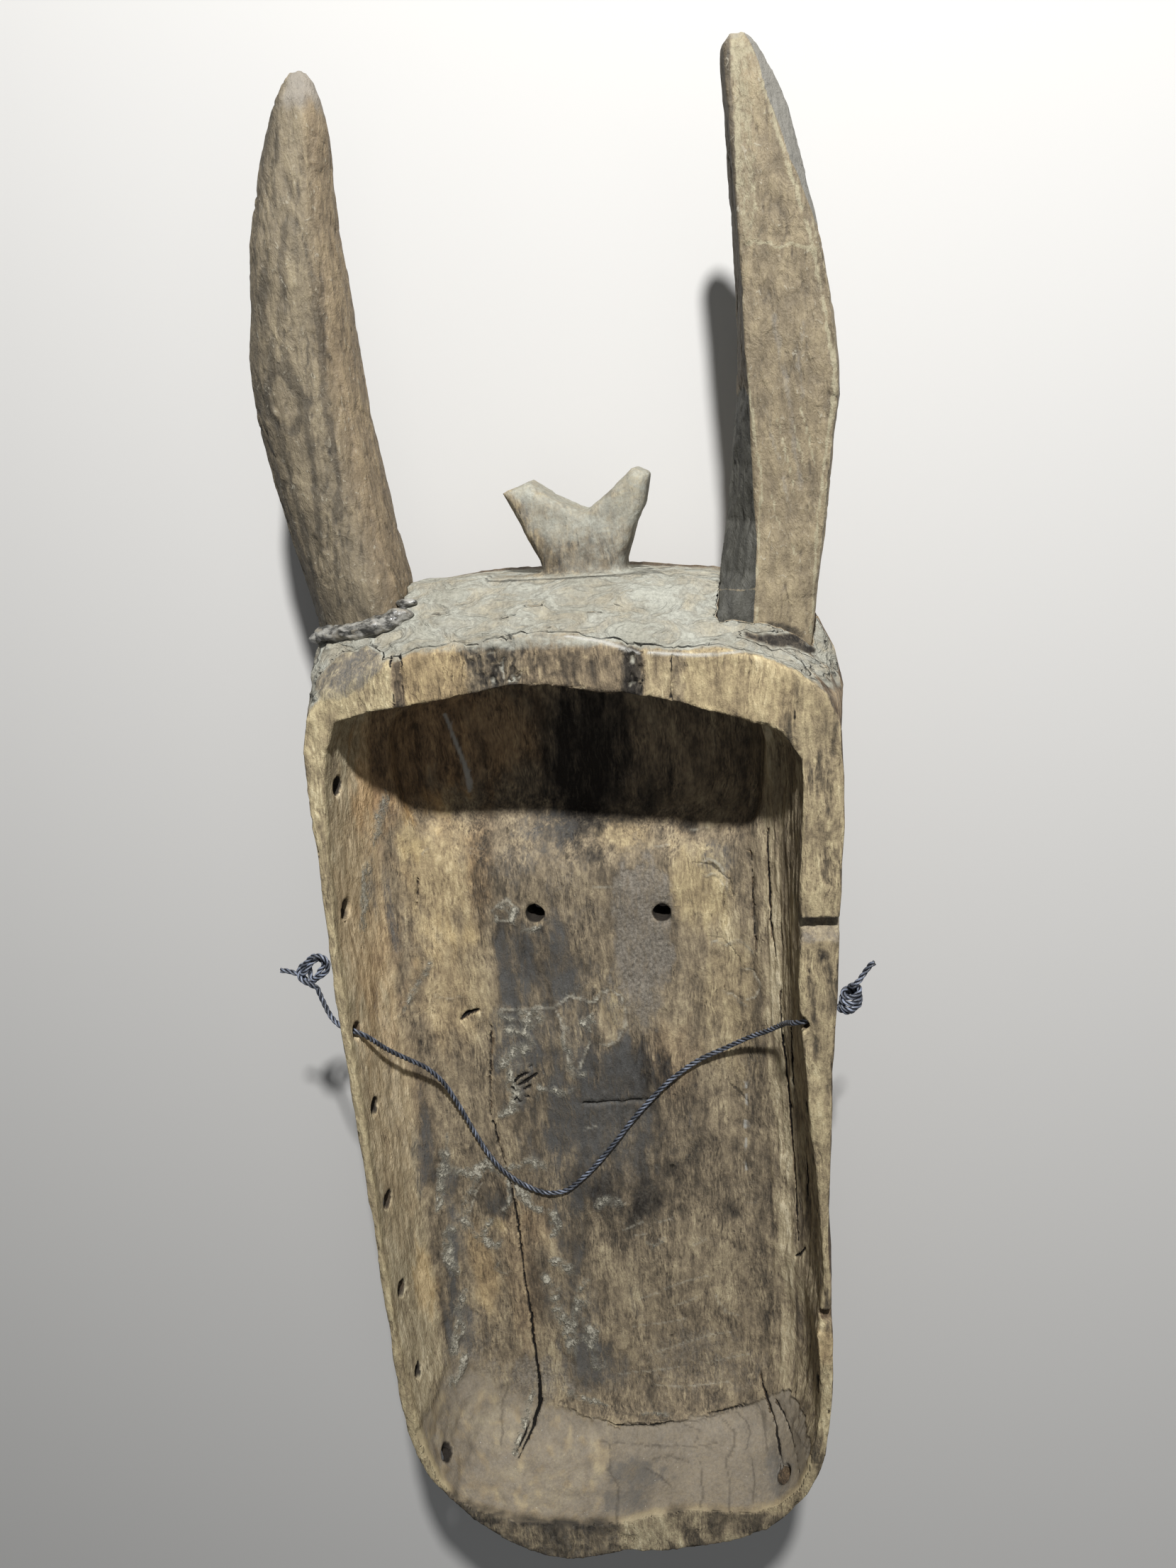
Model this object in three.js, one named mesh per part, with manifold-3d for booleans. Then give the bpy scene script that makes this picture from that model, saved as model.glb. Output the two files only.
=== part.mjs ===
// A long-faced wooden mask with two horns and a forked crest, lying on its carved front.
// Millimetres. +X is to the right seen from the hollow back, +Y towards the horns, +Z up out of the hollow.
import * as THREE from 'three';
import { mergeVertices } from 'three/addons/utils/BufferGeometryUtils.js';
import Module from 'manifold-3d';

const wasm = await Module();
wasm.setup();
const { Manifold, Mesh: SolidMesh } = wasm;

// Driving dimensions
const MIDLINE = 4;          // x of the face's middle line
const MIDDLE_Y = -125;      // y about which the outlines grow and shrink
const HALF_WIDTH = 134;     // half the width across the walls
const HALF_LENGTH = 285;    // half the length of the head and face
const RIM_Z = 132;          // height of the rim, which is the mask's depth
const FLOOR_Z = 66;         // height of the hollow's floor
const FACE_Z = 50;          // height of the flat face, on the underside
const PLAY = 0.3;           // gap between touching pieces

const EYE_Y = -8;
const EYE_XS = [-31, 42.6];
const EYE_BORE = 5.5;       // radius
const BROW_EDGE_Y = 22;     // lower edge of the overhanging forehead
const NOSE = { top: 30, tip: -178, rootWidth: 22, tipWidth: 46, rootZ: 24, tipZ: 7 };
const MOUTH = { y: -252, halfWidth: 44, halfHeight: 19, slitWidth: 66, slitHeight: 5, slitDepth: 7 };

const RIM_HOLE_Z = 116;
const RIM_HOLE_R = 5.5;
const LEFT_HOLE_YS = [87, 17, -105, -168, -231, -292];
const RIGHT_HOLE_YS = [-100, -162, -283];
const CORD_HOLE_R = 4.8;
const CORD_R = 1.5;

// The outline of the walls' outer edge, anticlockwise from the left shoulder round the chin to the right shoulder
const WALL_OUTLINE = [
  [-129, 110], [-130, 30], [-131, -20], [-128, -150], [-126, -287], [-121, -338], [-103, -375], [-76, -400],
  [-40, -417.5], [2, -409], [39, -403], [91, -383], [119, -350], [131, -300], [131, -152], [135, -40], [139, 105],
];
// The rest of it over the head, once along the rim's brow and once along the head's far edge
const BROW_OUTLINE = [
  [134, 129], [94, 152], [64, 152], [11, 162], [-21, 163], [-70, 155], [-111, 140], [-125, 127],
];
const HEAD_OUTLINE = [
  [140, 132], [131, 158], [112, 175], [50, 186], [-30, 187], [-78, 185], [-117, 173], [-130, 147],
];

// The outline of the opening: a thin left wall, a thick right wall that is broken away lower down
const OPENING_OUTLINE = [
  [-118, 108], [-121, 81], [-125, 10], [-124, -110], [-123, -210], [-120, -287], [-111, -350], [-98, -374],
  [-68, -386], [-34, -388], [3, -384], [43, -370], [84, -369], [104, -358], [117, -335], [125, -287],
  [124, -228], [127, -216], [126, -159], [119, -60], [118, 40], [119, 100], [112, 113], [78, 124],
  [42, 134], [9, 137], [-15, 141], [-29, 138], [-78, 131], [-110, 124],
];

// height, outward growth, and how far the sloping top of the head has run from the brow to the far edge
const OUTSIDE_LEVELS = [
  [FACE_Z, -17, 0.9], [53, -9, 0.95], [59, -3, 1], [70, 0, 1], [84, 1, 1],
  [96, 1, 1], [108, 1, 0.67], [120, 0.5, 0.33], [RIM_Z, 0, 0],
];
// height, inset of the wall, and how far the hollow runs on under the brow
const HOLLOW_LEVELS = [
  [FLOOR_Z, 46, 14], [68.5, 32, 14], [74, 19, 13], [82, 10, 12], [93, 5, 10],
  [110, 2, 6], [RIM_Z, 0, 0], [RIM_Z + 6, -1, 0],
];
// height, half width, lowest y, highest y of the domed forehead, which the walls' outline then trims
const FOREHEAD_LEVELS = [
  [0, 72, 46, 132], [4, 90, 35, 152], [12, 107, 27, 168], [25, 122, BROW_EDGE_Y, 182],
  [42, 134, 20, 192], [62, 140, 26, 198], [78, 140, 44, 198],
];
const FOREHEAD_INSET = 1.5; // how far the trimmed forehead stays inside the walls
// height, half width, lowest y, highest y of the deeper hollow behind the forehead
const POCKET_LEVELS = [
  [38, 58, 60, 112], [42, 78, 50, 124], [52, 94, 40, 134], [64, 102, 24, 140], [78, 104, 16, 142],
];

// Solids

function toSolid(geometry) {
  const bare = geometry.clone();
  bare.deleteAttribute('normal');
  bare.deleteAttribute('uv');
  const merged = mergeVertices(bare, 1e-4);
  return new Manifold(new SolidMesh({
    numProp: 3,
    vertProperties: new Float32Array(merged.attributes.position.array),
    triVerts: new Uint32Array(merged.index.array),
  }));
}

function toGeometry(solid) {
  const mesh = solid.getMesh();
  const geometry = new THREE.BufferGeometry();
  geometry.setAttribute('position', new THREE.BufferAttribute(new Float32Array(mesh.vertProperties), 3));
  geometry.setIndex(new THREE.BufferAttribute(new Uint32Array(mesh.triVerts), 1));
  return geometry;
}

// Leaves out slivers that a cut has parted from the piece.
function largest(solid) {
  return solid.decompose().reduce((best, part) => (part.volume() > best.volume() ? part : best));
}

// Joins rings with the same number of points into one closed body with flat ends.
function loft(rings) {
  const count = rings[0].length;
  const points = rings.flat();
  const triangles = [];
  for (let r = 0; r < rings.length - 1; r += 1) {
    for (let i = 0; i < count; i += 1) {
      const a = r * count + i;
      const b = r * count + (i + 1) % count;
      triangles.push(a, b, b + count, a, b + count, a + count);
    }
  }
  const centre = (ring) => ring.reduce((sum, p) => sum.add(p), new THREE.Vector3()).divideScalar(count);
  const first = points.push(centre(rings[0])) - 1;
  const last = points.push(centre(rings.at(-1))) - 1;
  const top = (rings.length - 1) * count;
  for (let i = 0; i < count; i += 1) {
    const next = (i + 1) % count;
    triangles.push(first, next, i, last, top + i, top + next);
  }
  const geometry = new THREE.BufferGeometry().setFromPoints(points);
  geometry.setIndex(volume(points, triangles) < 0 ? triangles.reverse() : triangles);
  return toSolid(geometry);
}

function volume(points, triangles) {
  let sum = 0;
  for (let i = 0; i < triangles.length; i += 3) {
    const [a, b, c] = [points[triangles[i]], points[triangles[i + 1]], points[triangles[i + 2]]];
    sum += a.dot(new THREE.Vector3().crossVectors(b, c));
  }
  return sum;
}

function smoothOutline(corners, count) {
  const path = new THREE.CatmullRomCurve3(
    corners.map(([x, y]) => new THREE.Vector3(x, y, 0)), true, 'centripetal');
  return path.getSpacedPoints(count).slice(0, count);
}

// The same outline at height z, grown by spread, its end towards the horns moved on by reach.
function outlineRing(outline, z, spread, reach = 0) {
  return outline.map((p) => new THREE.Vector3(
    MIDLINE + (p.x - MIDLINE) * (1 + spread / HALF_WIDTH),
    MIDDLE_Y + (p.y - MIDDLE_Y) * (1 + spread / HALF_LENGTH) + reach * THREE.MathUtils.smoothstep(p.y, 95, 135),
    z,
  ));
}

// The outer outline where the top of the head has run on by a fraction of its slope.
function outerOutline(run) {
  const over = BROW_OUTLINE.map(([x, y], i) => [
    THREE.MathUtils.lerp(x, HEAD_OUTLINE[i][0], run), THREE.MathUtils.lerp(y, HEAD_OUTLINE[i][1], run),
  ]);
  return smoothOutline([...WALL_OUTLINE, ...over], 84);
}

// The distance from the middle, in the direction (c, s), of a curve between a circle (power 2) and a square
// (a high power).
function superellipse(c, s, power) {
  return (Math.abs(c) ** power + Math.abs(s) ** power) ** (-1 / power);
}

// A ring of such a curve, level at height z
function roundedRing(centreX, halfWidth, lowY, highY, z, power, count) {
  return Array.from({ length: count }, (_, i) => {
    const angle = 2 * Math.PI * i / count;
    const [c, s] = [Math.cos(angle), Math.sin(angle)];
    const reach = superellipse(c, s, power);
    return new THREE.Vector3(
      centreX + halfWidth * reach * c, (lowY + highY) / 2 + (highY - lowY) / 2 * reach * s, z);
  });
}

function rod(from, to, radius, sides) {
  const [a, b] = [new THREE.Vector3(...from), new THREE.Vector3(...to)];
  const axis = b.clone().sub(a);
  const geometry = new THREE.CylinderGeometry(radius, radius, axis.length(), sides);
  const turn = new THREE.Quaternion().setFromUnitVectors(new THREE.Vector3(0, 1, 0), axis.normalize());
  geometry.applyQuaternion(turn);
  geometry.translate(...a.add(b).divideScalar(2).toArray());
  return toSolid(geometry);
}

function block(low, high) {
  const [a, b] = [new THREE.Vector3(...low), new THREE.Vector3(...high)];
  const size = b.clone().sub(a);
  const geometry = new THREE.BoxGeometry(size.x, size.y, size.z);
  geometry.translate(...a.add(b).divideScalar(2).toArray());
  return toSolid(geometry);
}

function ball(centre, radii, across, down) {
  const geometry = new THREE.SphereGeometry(1, across, down);
  geometry.scale(...radii);
  geometry.translate(...centre);
  return toSolid(geometry);
}

// Horns: each station is y, left edge, right edge, height of the axis, half thickness front to back

const LEFT_HORN = [
  [158, -127, -76, 85, 26], [172, -128, -75, 85, 26.5], [190, -131, -76, 86, 26.5], [212, -135, -81, 86, 26.5],
  [240, -139, -85, 87, 26], [272, -141.5, -88, 90, 25.5], [300, -140, -89, 92, 24.5], [326, -135, -89.5, 95, 22.5],
  [350, -130, -90, 98, 20], [374, -123, -89.5, 100, 17], [394, -115.5, -88, 102, 13.5],
  [407, -109, -89, 103.5, 10.5], [414, -104.5, -91, 104, 7], [418.2, -101, -94, 104, 3.5],
];
const RIGHT_HORN = [
  [148, 81, 127, 84, 23], [166, 81, 129, 84, 24], [186, 83, 131, 85, 24], [210, 86, 134, 86, 24.5],
  [236, 89.5, 137, 87, 24.5], [266, 93, 140.5, 89, 24.5], [290, 94, 139, 91, 23.5], [312, 94, 136, 93, 21.5],
  [336, 93, 131, 96, 19], [360, 92, 125, 99, 16.5], [384, 91, 118.5, 101, 13.5], [400, 90, 111, 103, 10.5],
  [408, 90.5, 106, 104, 8], [412.5, 94, 102, 104, 4.5],
];

// The left horn's section is a round with soft corners, turned a little towards the midline at its foot.
function roundSection([y, left, right, axisZ, depth], grow) {
  const sides = 16;
  const halfWidth = (right - left) / 2 + grow;
  const lean = THREE.MathUtils.lerp(6, 0, THREE.MathUtils.smoothstep(y, 172, 260));
  return Array.from({ length: sides }, (_, i) => {
    const angle = 2 * Math.PI * (i + 0.5) / sides;
    const [c, s] = [Math.cos(angle), Math.sin(angle)];
    const reach = superellipse(c, s, 2.8);
    return new THREE.Vector3(
      (left + right) / 2 + halfWidth * reach * c, y, axisZ + lean * c + (depth + grow) * reach * s);
  });
}

// The right horn's section is cut in flats: a broad near face, a slanting side that runs out half way up on the
// left, and a second slanting side that starts half way up on the right. At the foot the slanting left side
// rises until it stands out of the sloping head.
function flatSection([y, leftEdge, rightEdge, axisZ, depth], grow) {
  const left = leftEdge - grow;
  const width = rightEdge - leftEdge + 2 * grow;
  const d = depth + grow;
  const leftFlat = THREE.MathUtils.lerp(0.36, 0.08, THREE.MathUtils.smoothstep(y, 190, 290));
  const rightFlat = THREE.MathUtils.lerp(0.97, 0.76, THREE.MathUtils.smoothstep(y, 322, 384));
  const raised = 1 - THREE.MathUtils.smoothstep(y, 166, 206);
  const leftUp = THREE.MathUtils.lerp(0, 1.25, raised);
  const ridgeUp = THREE.MathUtils.lerp(0.92, 1.14, raised);
  const section = [
    [0, leftUp], [leftFlat, ridgeUp], [rightFlat, 1], [1, 0.45],
    [0.98, -0.4], [0.72, -0.95], [0.3, -1], [0.06, -0.6],
  ];
  return section.map(([across, up]) => new THREE.Vector3(left + across * width, y, axisZ + up * d));
}

function horn(stations, section, grow = 0) {
  const rings = stations.map((station) => section(station, grow));
  rings[0].forEach((p) => { p.y -= grow; });
  return loft(rings);
}

// The block: head, walls, face and crest

function crest() {
  const outline = new THREE.Shape([
    [-6, 176], [-7, 194], [-17, 216], [-24, 229], [-11, 234], [0, 226], [16, 218], [28, 226], [42, 237],
    [49, 234], [46, 219], [41, 210], [35, 192], [36, 176],
  ].map(([x, y]) => new THREE.Vector2(x, y)));
  const geometry = new THREE.ExtrudeGeometry(outline, {
    depth: 22, bevelEnabled: true, bevelThickness: 4, bevelSize: 3, bevelOffset: -3, bevelSegments: 1,
  });
  geometry.translate(0, 0, 66);
  return toSolid(geometry);
}

function nose() {
  const steps = 7;
  const rings = Array.from({ length: steps + 1 }, (_, i) => {
    const t = i / steps;
    const y = THREE.MathUtils.lerp(NOSE.top, NOSE.tip, t);
    const half = THREE.MathUtils.lerp(NOSE.rootWidth, NOSE.tipWidth, t ** 1.6) / 2;
    const ridge = THREE.MathUtils.lerp(NOSE.rootZ, NOSE.tipZ, t);
    const root = FACE_Z + 4;
    return [
      [-half, root], [-half * 0.86, FACE_Z - 6], [-half * 0.36, ridge + 3], [0, ridge],
      [half * 0.36, ridge + 3], [half * 0.86, FACE_Z - 6], [half, root],
    ].map(([x, z]) => new THREE.Vector3(MIDLINE + x, y, z));
  });
  const underTip = rings.at(-1).map((p) => new THREE.Vector3(
    MIDLINE + (p.x - MIDLINE) * 0.8, NOSE.tip - 9, Math.max(p.z, FACE_Z - 16)));
  return loft([...rings, underTip]);
}

function mouth() {
  const levels = [[0, -5], [3, -2], [12, 2], [30, 9], [FACE_Z + 4, 24]];
  const lips = loft(levels.map(([z, grow]) => roundedRing(
    MIDLINE, MOUTH.halfWidth + grow, MOUTH.y - MOUTH.halfHeight - grow, MOUTH.y + MOUTH.halfHeight + grow,
    z, 3.2, 32)));
  const slit = block(
    [MIDLINE - MOUTH.slitWidth / 2, MOUTH.y - MOUTH.slitHeight / 2, -1],
    [MIDLINE + MOUTH.slitWidth / 2, MOUTH.y + MOUTH.slitHeight / 2, MOUTH.slitDepth]);
  return lips.subtract(slit);
}

function rimHoles() {
  const left = LEFT_HOLE_YS.map((y) => rod([-150, y, RIM_HOLE_Z - 2], [-105, y, RIM_HOLE_Z], RIM_HOLE_R, 12));
  const right = RIGHT_HOLE_YS.map((y) => rod([105, y, RIM_HOLE_Z + 4], [150, y, RIM_HOLE_Z], RIM_HOLE_R, 12));
  const corners = [
    rod([-84, -338, RIM_HOLE_Z], [-140, -380, RIM_HOLE_Z - 3], RIM_HOLE_R, 12),
    rod([78, -330, RIM_HOLE_Z], [132, -384, RIM_HOLE_Z - 3], RIM_HOLE_R, 12),
  ];
  const cordHoles = [
    rod([-150, -53, 120], [-105, -54, 122], CORD_HOLE_R, 12),
    rod([100, -42, 143], [152, -42, 101], CORD_HOLE_R, 12),
  ];
  return Manifold.union([...left, ...right, ...corners, ...cordHoles]);
}

function rimBreaks() {
  const sawnNotch = loft([100, 150].map((x) => [
    [17, RIM_Z + 2], [16, RIM_Z - 10], [13, RIM_Z - 10], [3, RIM_Z + 2],
  ].map(([y, z]) => new THREE.Vector3(x, y, z))));
  const step = block([126, -227, RIM_Z - 9], [150, -220, RIM_Z + 5]);
  const chinSplit = rod([7, -432, RIM_Z + 3], [8, -394, RIM_Z + 2], 7, 3);
  return Manifold.union([sawnNotch, step, chinSplit]);
}

function maskBody(leftSocket, rightSocket) {
  const opening = smoothOutline(OPENING_OUTLINE, 76);
  const outside = loft(OUTSIDE_LEVELS.map(([z, spread, run]) => outlineRing(outerOutline(run), z, spread)));
  const hollow = loft(HOLLOW_LEVELS.map(([z, inset, reach]) => outlineRing(opening, z, -inset, reach)));
  const dome = loft(FOREHEAD_LEVELS.map(([z, half, low, high]) =>
    roundedRing(MIDLINE, half, low, high, z, 2.8, 48)));
  const forehead = dome.intersect(loft([-1, FOREHEAD_LEVELS.at(-1)[0] + 1].map((z) =>
    outlineRing(outerOutline(1), z, -FOREHEAD_INSET))));
  const pocket = loft(POCKET_LEVELS.map(([z, half, low, high]) =>
    roundedRing(MIDLINE - 4, half, low, high, z, 3, 40)));
  const eyelids = EYE_XS.map((x) => ball([x, EYE_Y, FACE_Z], [27, 11, 9], 16, 10));
  const eyeBores = EYE_XS.map((x) => rod([x, EYE_Y, 30], [x, EYE_Y, 80], EYE_BORE, 16));
  const carved = Manifold.union([outside, forehead, ...eyelids, nose(), mouth(), crest()]);
  const removed = Manifold.union([
    hollow, pocket, ...eyeBores, rimHoles(), rimBreaks(), leftSocket, rightSocket,
  ]);
  return carved.subtract(removed);
}

// Pitch pressed into the corner between the left horn and the head, on the near side
function pitchCollar(body, socket) {
  const lumps = [
    [-121, 163, 101, 5.5], [-115, 165, 106, 6], [-108, 166, 110, 6.5], [-101, 167, 112, 6.5], [-94, 168, 113, 6.5],
    [-87, 169, 113, 6.5], [-80, 170, 113, 6],
  ];
  const bead = Manifold.union(lumps.map(([x, y, z, r]) => ball([x, y, z], [r, r * 0.8, r * 0.8], 8, 6)));
  const nearHead = Manifold.union(
    [[0, 0, 0], [0, 0, PLAY], [0, PLAY, 0], [0, PLAY, PLAY]].map((move) => body.translate(move)));
  return largest(bead.subtract(nearHead.add(socket)));
}

// The cord: its route is chosen by hand, from outside the left wall to outside the right wall

const CORD_ROUTE = [
  [-151, -35, 106], [-147, -43, 109], [-141, -50, 114], [-133, -53, 119], [-126, -54, 121], [-121, -58, 119],
  [-118.5, -64, 114], [-116, -72, 107], [-112, -80, 100], [-106.5, -89, 92], [-100, -98, 85], [-93, -112, 78],
  [-86, -133, 72], [-80, -151, 69], [-73, -167, 68], [-64, -180, 68], [-51, -190, 68], [-38, -195, 68],
  [-26, -193, 68], [-13, -182, 68], [-4, -172, 68], [9, -155, 68], [20, -140, 68], [30, -128, 68],
  [43, -114, 68], [60, -100, 69], [76, -90, 72], [90, -79, 79], [100, -70, 88], [107, -61, 98], [110.5, -54, 108],
  [112.5, -49, 117], [115.3, -45, 124], [120, -42.3, 127], [125.5, -42, 123], [131, -41.8, 118.3], [136.5, -40.5, 113.8],
];

function cordTube() {
  const path = new THREE.CatmullRomCurve3(CORD_ROUTE.map((p) => new THREE.Vector3(...p)), false, 'centripetal');
  const section = new THREE.Shape();
  const sides = 8;
  for (let i = 0; i < sides; i += 1) {
    const angle = 2 * Math.PI * i / sides;
    const [x, y] = [CORD_R * Math.cos(angle), CORD_R * Math.sin(angle)];
    if (i === 0) section.moveTo(x, y);
    else section.lineTo(x, y);
  }
  const steps = Math.round(path.getLength() / (CORD_R * 4));
  return new THREE.ExtrudeGeometry(section, { steps, bevelEnabled: false, extrudePath: path });
}

// The knots outside the walls: on the left with a loop and a tail, on the right with a tail
function knotLeft() {
  const loop = new THREE.TorusGeometry(4.8, CORD_R, 8, 14);
  loop.translate(-148.5, -21.5, 106);
  return Manifold.union([
    ball([-156, -28, 106], [5.2, 5, 4.5], 10, 7),
    toSolid(loop),
    rod([-157, -28, 106], [-173, -25.5, 104], CORD_R, 8),
  ]);
}

function knotRight() {
  return Manifold.union([
    ball([144, -38, 112], [5.6, 7, 5.4], 10, 7),
    rod([145, -36, 112], [151, -24, 112], CORD_R * 1.3, 8),
    rod([150.6, -24.8, 112], [156.5, -17, 112], CORD_R, 8),
  ]);
}

const leftHorn = horn(LEFT_HORN, roundSection);
const rightHorn = horn(RIGHT_HORN, flatSection);
const leftSocket = horn(LEFT_HORN, roundSection, PLAY);
const rightSocket = horn(RIGHT_HORN, flatSection, PLAY);
const body = maskBody(leftSocket, rightSocket);

function piece(name, geometry, color, roughness, metalness = 0) {
  const material = new THREE.MeshStandardMaterial({ color, roughness, metalness });
  const mesh = new THREE.Mesh(geometry, material);
  mesh.name = name;
  return mesh;
}

const mask = new THREE.Group();
mask.add(
  piece('mask_body', toGeometry(body), 0x8a6b48, 0.85),
  piece('horn_left', toGeometry(leftHorn), 0x75614c, 0.8),
  piece('horn_right', toGeometry(rightHorn), 0x84694a, 0.8),
  piece('pitch_collar', toGeometry(pitchCollar(body, leftSocket)), 0x1c1a19, 0.35),
  piece('cord', cordTube(), 0x2a2b2e, 0.5),
  piece('knot_left', toGeometry(knotLeft()), 0x2a2b2e, 0.5),
  piece('knot_right', toGeometry(knotRight()), 0x2a2b2e, 0.5),
);

export default mask;
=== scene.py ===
"""The carved surface, finish, cord, light and camera of a long wooden mask with two horns, lying on its face.

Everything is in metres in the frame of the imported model: +X to the right seen from the hollow back, +Y
towards the horns, +Z up out of the hollow. The tables of places are in millimetres. In them a line is x, y
and tenths of its width, over and over. An oval mark is x, y, half width, half length and hundredths of its
strength, and then its turn in degrees where it has one. For the hollow laid flat, x and y are u and v.
"""

import math

import bmesh
import bpy
import numpy as np
from bpy.props import FloatProperty, FloatVectorProperty, IntProperty, PointerProperty
from mathutils import Matrix, Vector


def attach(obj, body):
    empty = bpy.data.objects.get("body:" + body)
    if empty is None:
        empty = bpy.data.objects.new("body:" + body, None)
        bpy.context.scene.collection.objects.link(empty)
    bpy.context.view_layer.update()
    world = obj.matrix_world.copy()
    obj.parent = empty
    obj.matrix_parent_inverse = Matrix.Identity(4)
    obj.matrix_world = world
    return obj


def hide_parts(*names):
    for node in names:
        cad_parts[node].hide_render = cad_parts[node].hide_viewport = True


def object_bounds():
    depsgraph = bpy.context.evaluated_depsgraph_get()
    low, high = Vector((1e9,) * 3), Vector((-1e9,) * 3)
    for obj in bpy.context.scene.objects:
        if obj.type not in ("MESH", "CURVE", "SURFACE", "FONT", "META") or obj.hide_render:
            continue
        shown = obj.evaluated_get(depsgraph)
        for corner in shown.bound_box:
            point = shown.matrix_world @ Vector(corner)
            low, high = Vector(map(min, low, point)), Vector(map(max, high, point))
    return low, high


bl_info = {
    "name": "Horned wooden mask",
    "version": (1, 0, 0),
    "blender": (4, 5, 0),
    "location": "View3D > Sidebar > Mask",
    "description": "Builds the carved surface, horns, pitch, cord and stage of a horned wooden mask",
    "category": "Object",
}

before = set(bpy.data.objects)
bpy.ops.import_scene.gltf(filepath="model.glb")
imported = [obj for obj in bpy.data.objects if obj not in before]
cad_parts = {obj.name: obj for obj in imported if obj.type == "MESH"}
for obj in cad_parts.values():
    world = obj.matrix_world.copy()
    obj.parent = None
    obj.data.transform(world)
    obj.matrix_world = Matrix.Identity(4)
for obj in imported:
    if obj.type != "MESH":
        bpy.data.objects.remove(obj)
CAD_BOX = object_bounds()
MM = 0.001

# Places in the hollow and on the rim
MIDDLE = (4, -125)
EYE_XS = (-31, 42.6)
EYE_Y = -8
WALL_HOLE_YS = (87, 17, -100, -105, -162, -168, -231, -283, -292)
WALL_HOLE_Z = 116
CORD_HOLE_YS = (-54, -42)
# How far from a hole's middle the wood counts as its bore, and how far out the walls begin
EYE_REACH = 7.5
HOLE_REACH = 8
WALL_X = 100
CORNER_HOLES = ((-84, -338, 110, -140, -380, 110), (78, -330, 110, 132, -384, 110))
RIM_Z = 0.132

# Cracks in the hollow
CRACKS = (
    (-63, -80, 4, -67, -113, 6, -69, -139, 6, -66, -162, 7, -61, -192, 8, -59, -215, 10, -58, -262, 9, -56,
     -292, 12, -56, -323, 14, -55, -346, 18, -55, -360, 28, -57, -370, 22, -60, -384, 16, -64, -398, 12,
     -67, -408, 6), (-62, -378, 6, -65, -390, 12, -69, -404, 8), (-11, -132, 6, 7, -131, 7, 28, -129, 5),
    (-82, -76, 9, -77, -72, 22, -70, -69, 9),
    (-12, -374, 5, -4, -377, 14, 8, -376, 9, 20, -375, 12, 34, -371, 6),
    (56, -363, 6, 66, -360, 12, 80, -354, 7),
    (94, -326, 7, 96, -340, 14, 99, -364, 9, 101, -382, 12, 103, -405, 6),
    (104, -344, 6, 106, -352, 14, 112, -372, 10, 118, -398, 8), (-100, 16, 5, -102, 7, 9, -103, -1, 5),
    (112, 44, 9, 113, 16, 16, 114, -8, 13, 118, -30, 8), (97, 30, 5, 98, 2, 9, 100, -30, 6),
    (122, -50, 9, 124, -90, 14, 126, -130, 12, 127, -170, 14, 130, -215, 8),
    (140, -60, 8, 136, -84, 14, 134, -106, 8), (150, -120, 8, 148, -146, 16, 144, -176, 9),
    (140, -215, 10, 134, -222, 16, 128, -226, 10),
)


# Settings


def number(name, description, default, unit="NONE"):
    return FloatProperty(name=name, description=description, default=default, unit=unit)


def length(name, description, default):
    return number(name, description, default, "LENGTH")


def count(name, description, default):
    return IntProperty(name=name, description=description, default=default)


def colour(name, description, default):
    return FloatVectorProperty(name=name, description=description, default=default, subtype="COLOR")


class CarvingSettings(bpy.types.PropertyGroup):
    """How the wooden block is carved and coloured."""

    fineness: length("Fineness", "Spacing of the carved surface's points", 0.00125)
    plain_points: count("Plain points", "Points kept on the sides and the front", 12500)
    other_points: count("Other points", "Points kept in the hollow and on the rim, away from marks", 57000)
    gouge_depth: length("Gouge depth", "Depth of the tool's scoops", 0.0008)
    grain_depth: length("Grain depth", "Depth of the weathered grain", 0.0003)
    dust: colour("Dust", "Grey-tan dust on the head", (0.368, 0.366, 0.312))
    mauve: colour("Fine dirt", "Brown-mauve dirt in the hollow", (0.232, 0.206, 0.168))
    crust: colour("Crust", "Dried pale crust", (0.44, 0.415, 0.335))
    slate: colour("Slate", "Blue-grey film", (0.112, 0.110, 0.104))


class HornSettings(bpy.types.PropertyGroup):
    """How the two horns are cut and coloured."""

    fineness: length("Fineness", "Spacing of the horns' surface points", 0.0011)
    black: colour("Blackened side", "The right horn's dark side", (0.062, 0.060, 0.050))
    slate: colour("Grey side", "The right horn's weathered grey side", (0.20, 0.19, 0.165))
    tip: colour("Worn tip", "The blunt pale tips", (0.265, 0.24, 0.205))


class CordSettings(bpy.types.PropertyGroup):
    """The twisted cord and its knots."""

    diameter: length("Diameter", "Thickness of the laid cord", 0.003)
    turn: length("Lay", "Length along the cord of one full turn of a strand", 0.0115)
    strands: count("Strands", "Strands laid together", 3)
    colour: colour("Colour", "Dark waxed yarn", (0.022, 0.025, 0.032))


class PitchSettings(bpy.types.PropertyGroup):
    """The pitch round the foot of the left horn."""

    fineness: length("Fineness", "Spacing of the pitch's surface points", 0.0006)
    colour: colour("Colour", "Old dark pitch", (0.06, 0.058, 0.052))


class StageSettings(bpy.types.PropertyGroup):
    """The camera, the light and the floor."""

    distance: length("Camera distance", "From the camera to the point it looks at", 0.58)
    floor: colour("Floor", "Colour of the plain floor", (0.62, 0.61, 0.59))
    key: number("Key light", "Power of the light beyond the horns", 35.0, "POWER")
    fill: number("Fill light", "Power of the soft light overhead", 2.6, "POWER")
    sky: number("Even light", "Strength of the light from all round", 0.095)


# Smooth noise and other fields over the surface

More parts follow.
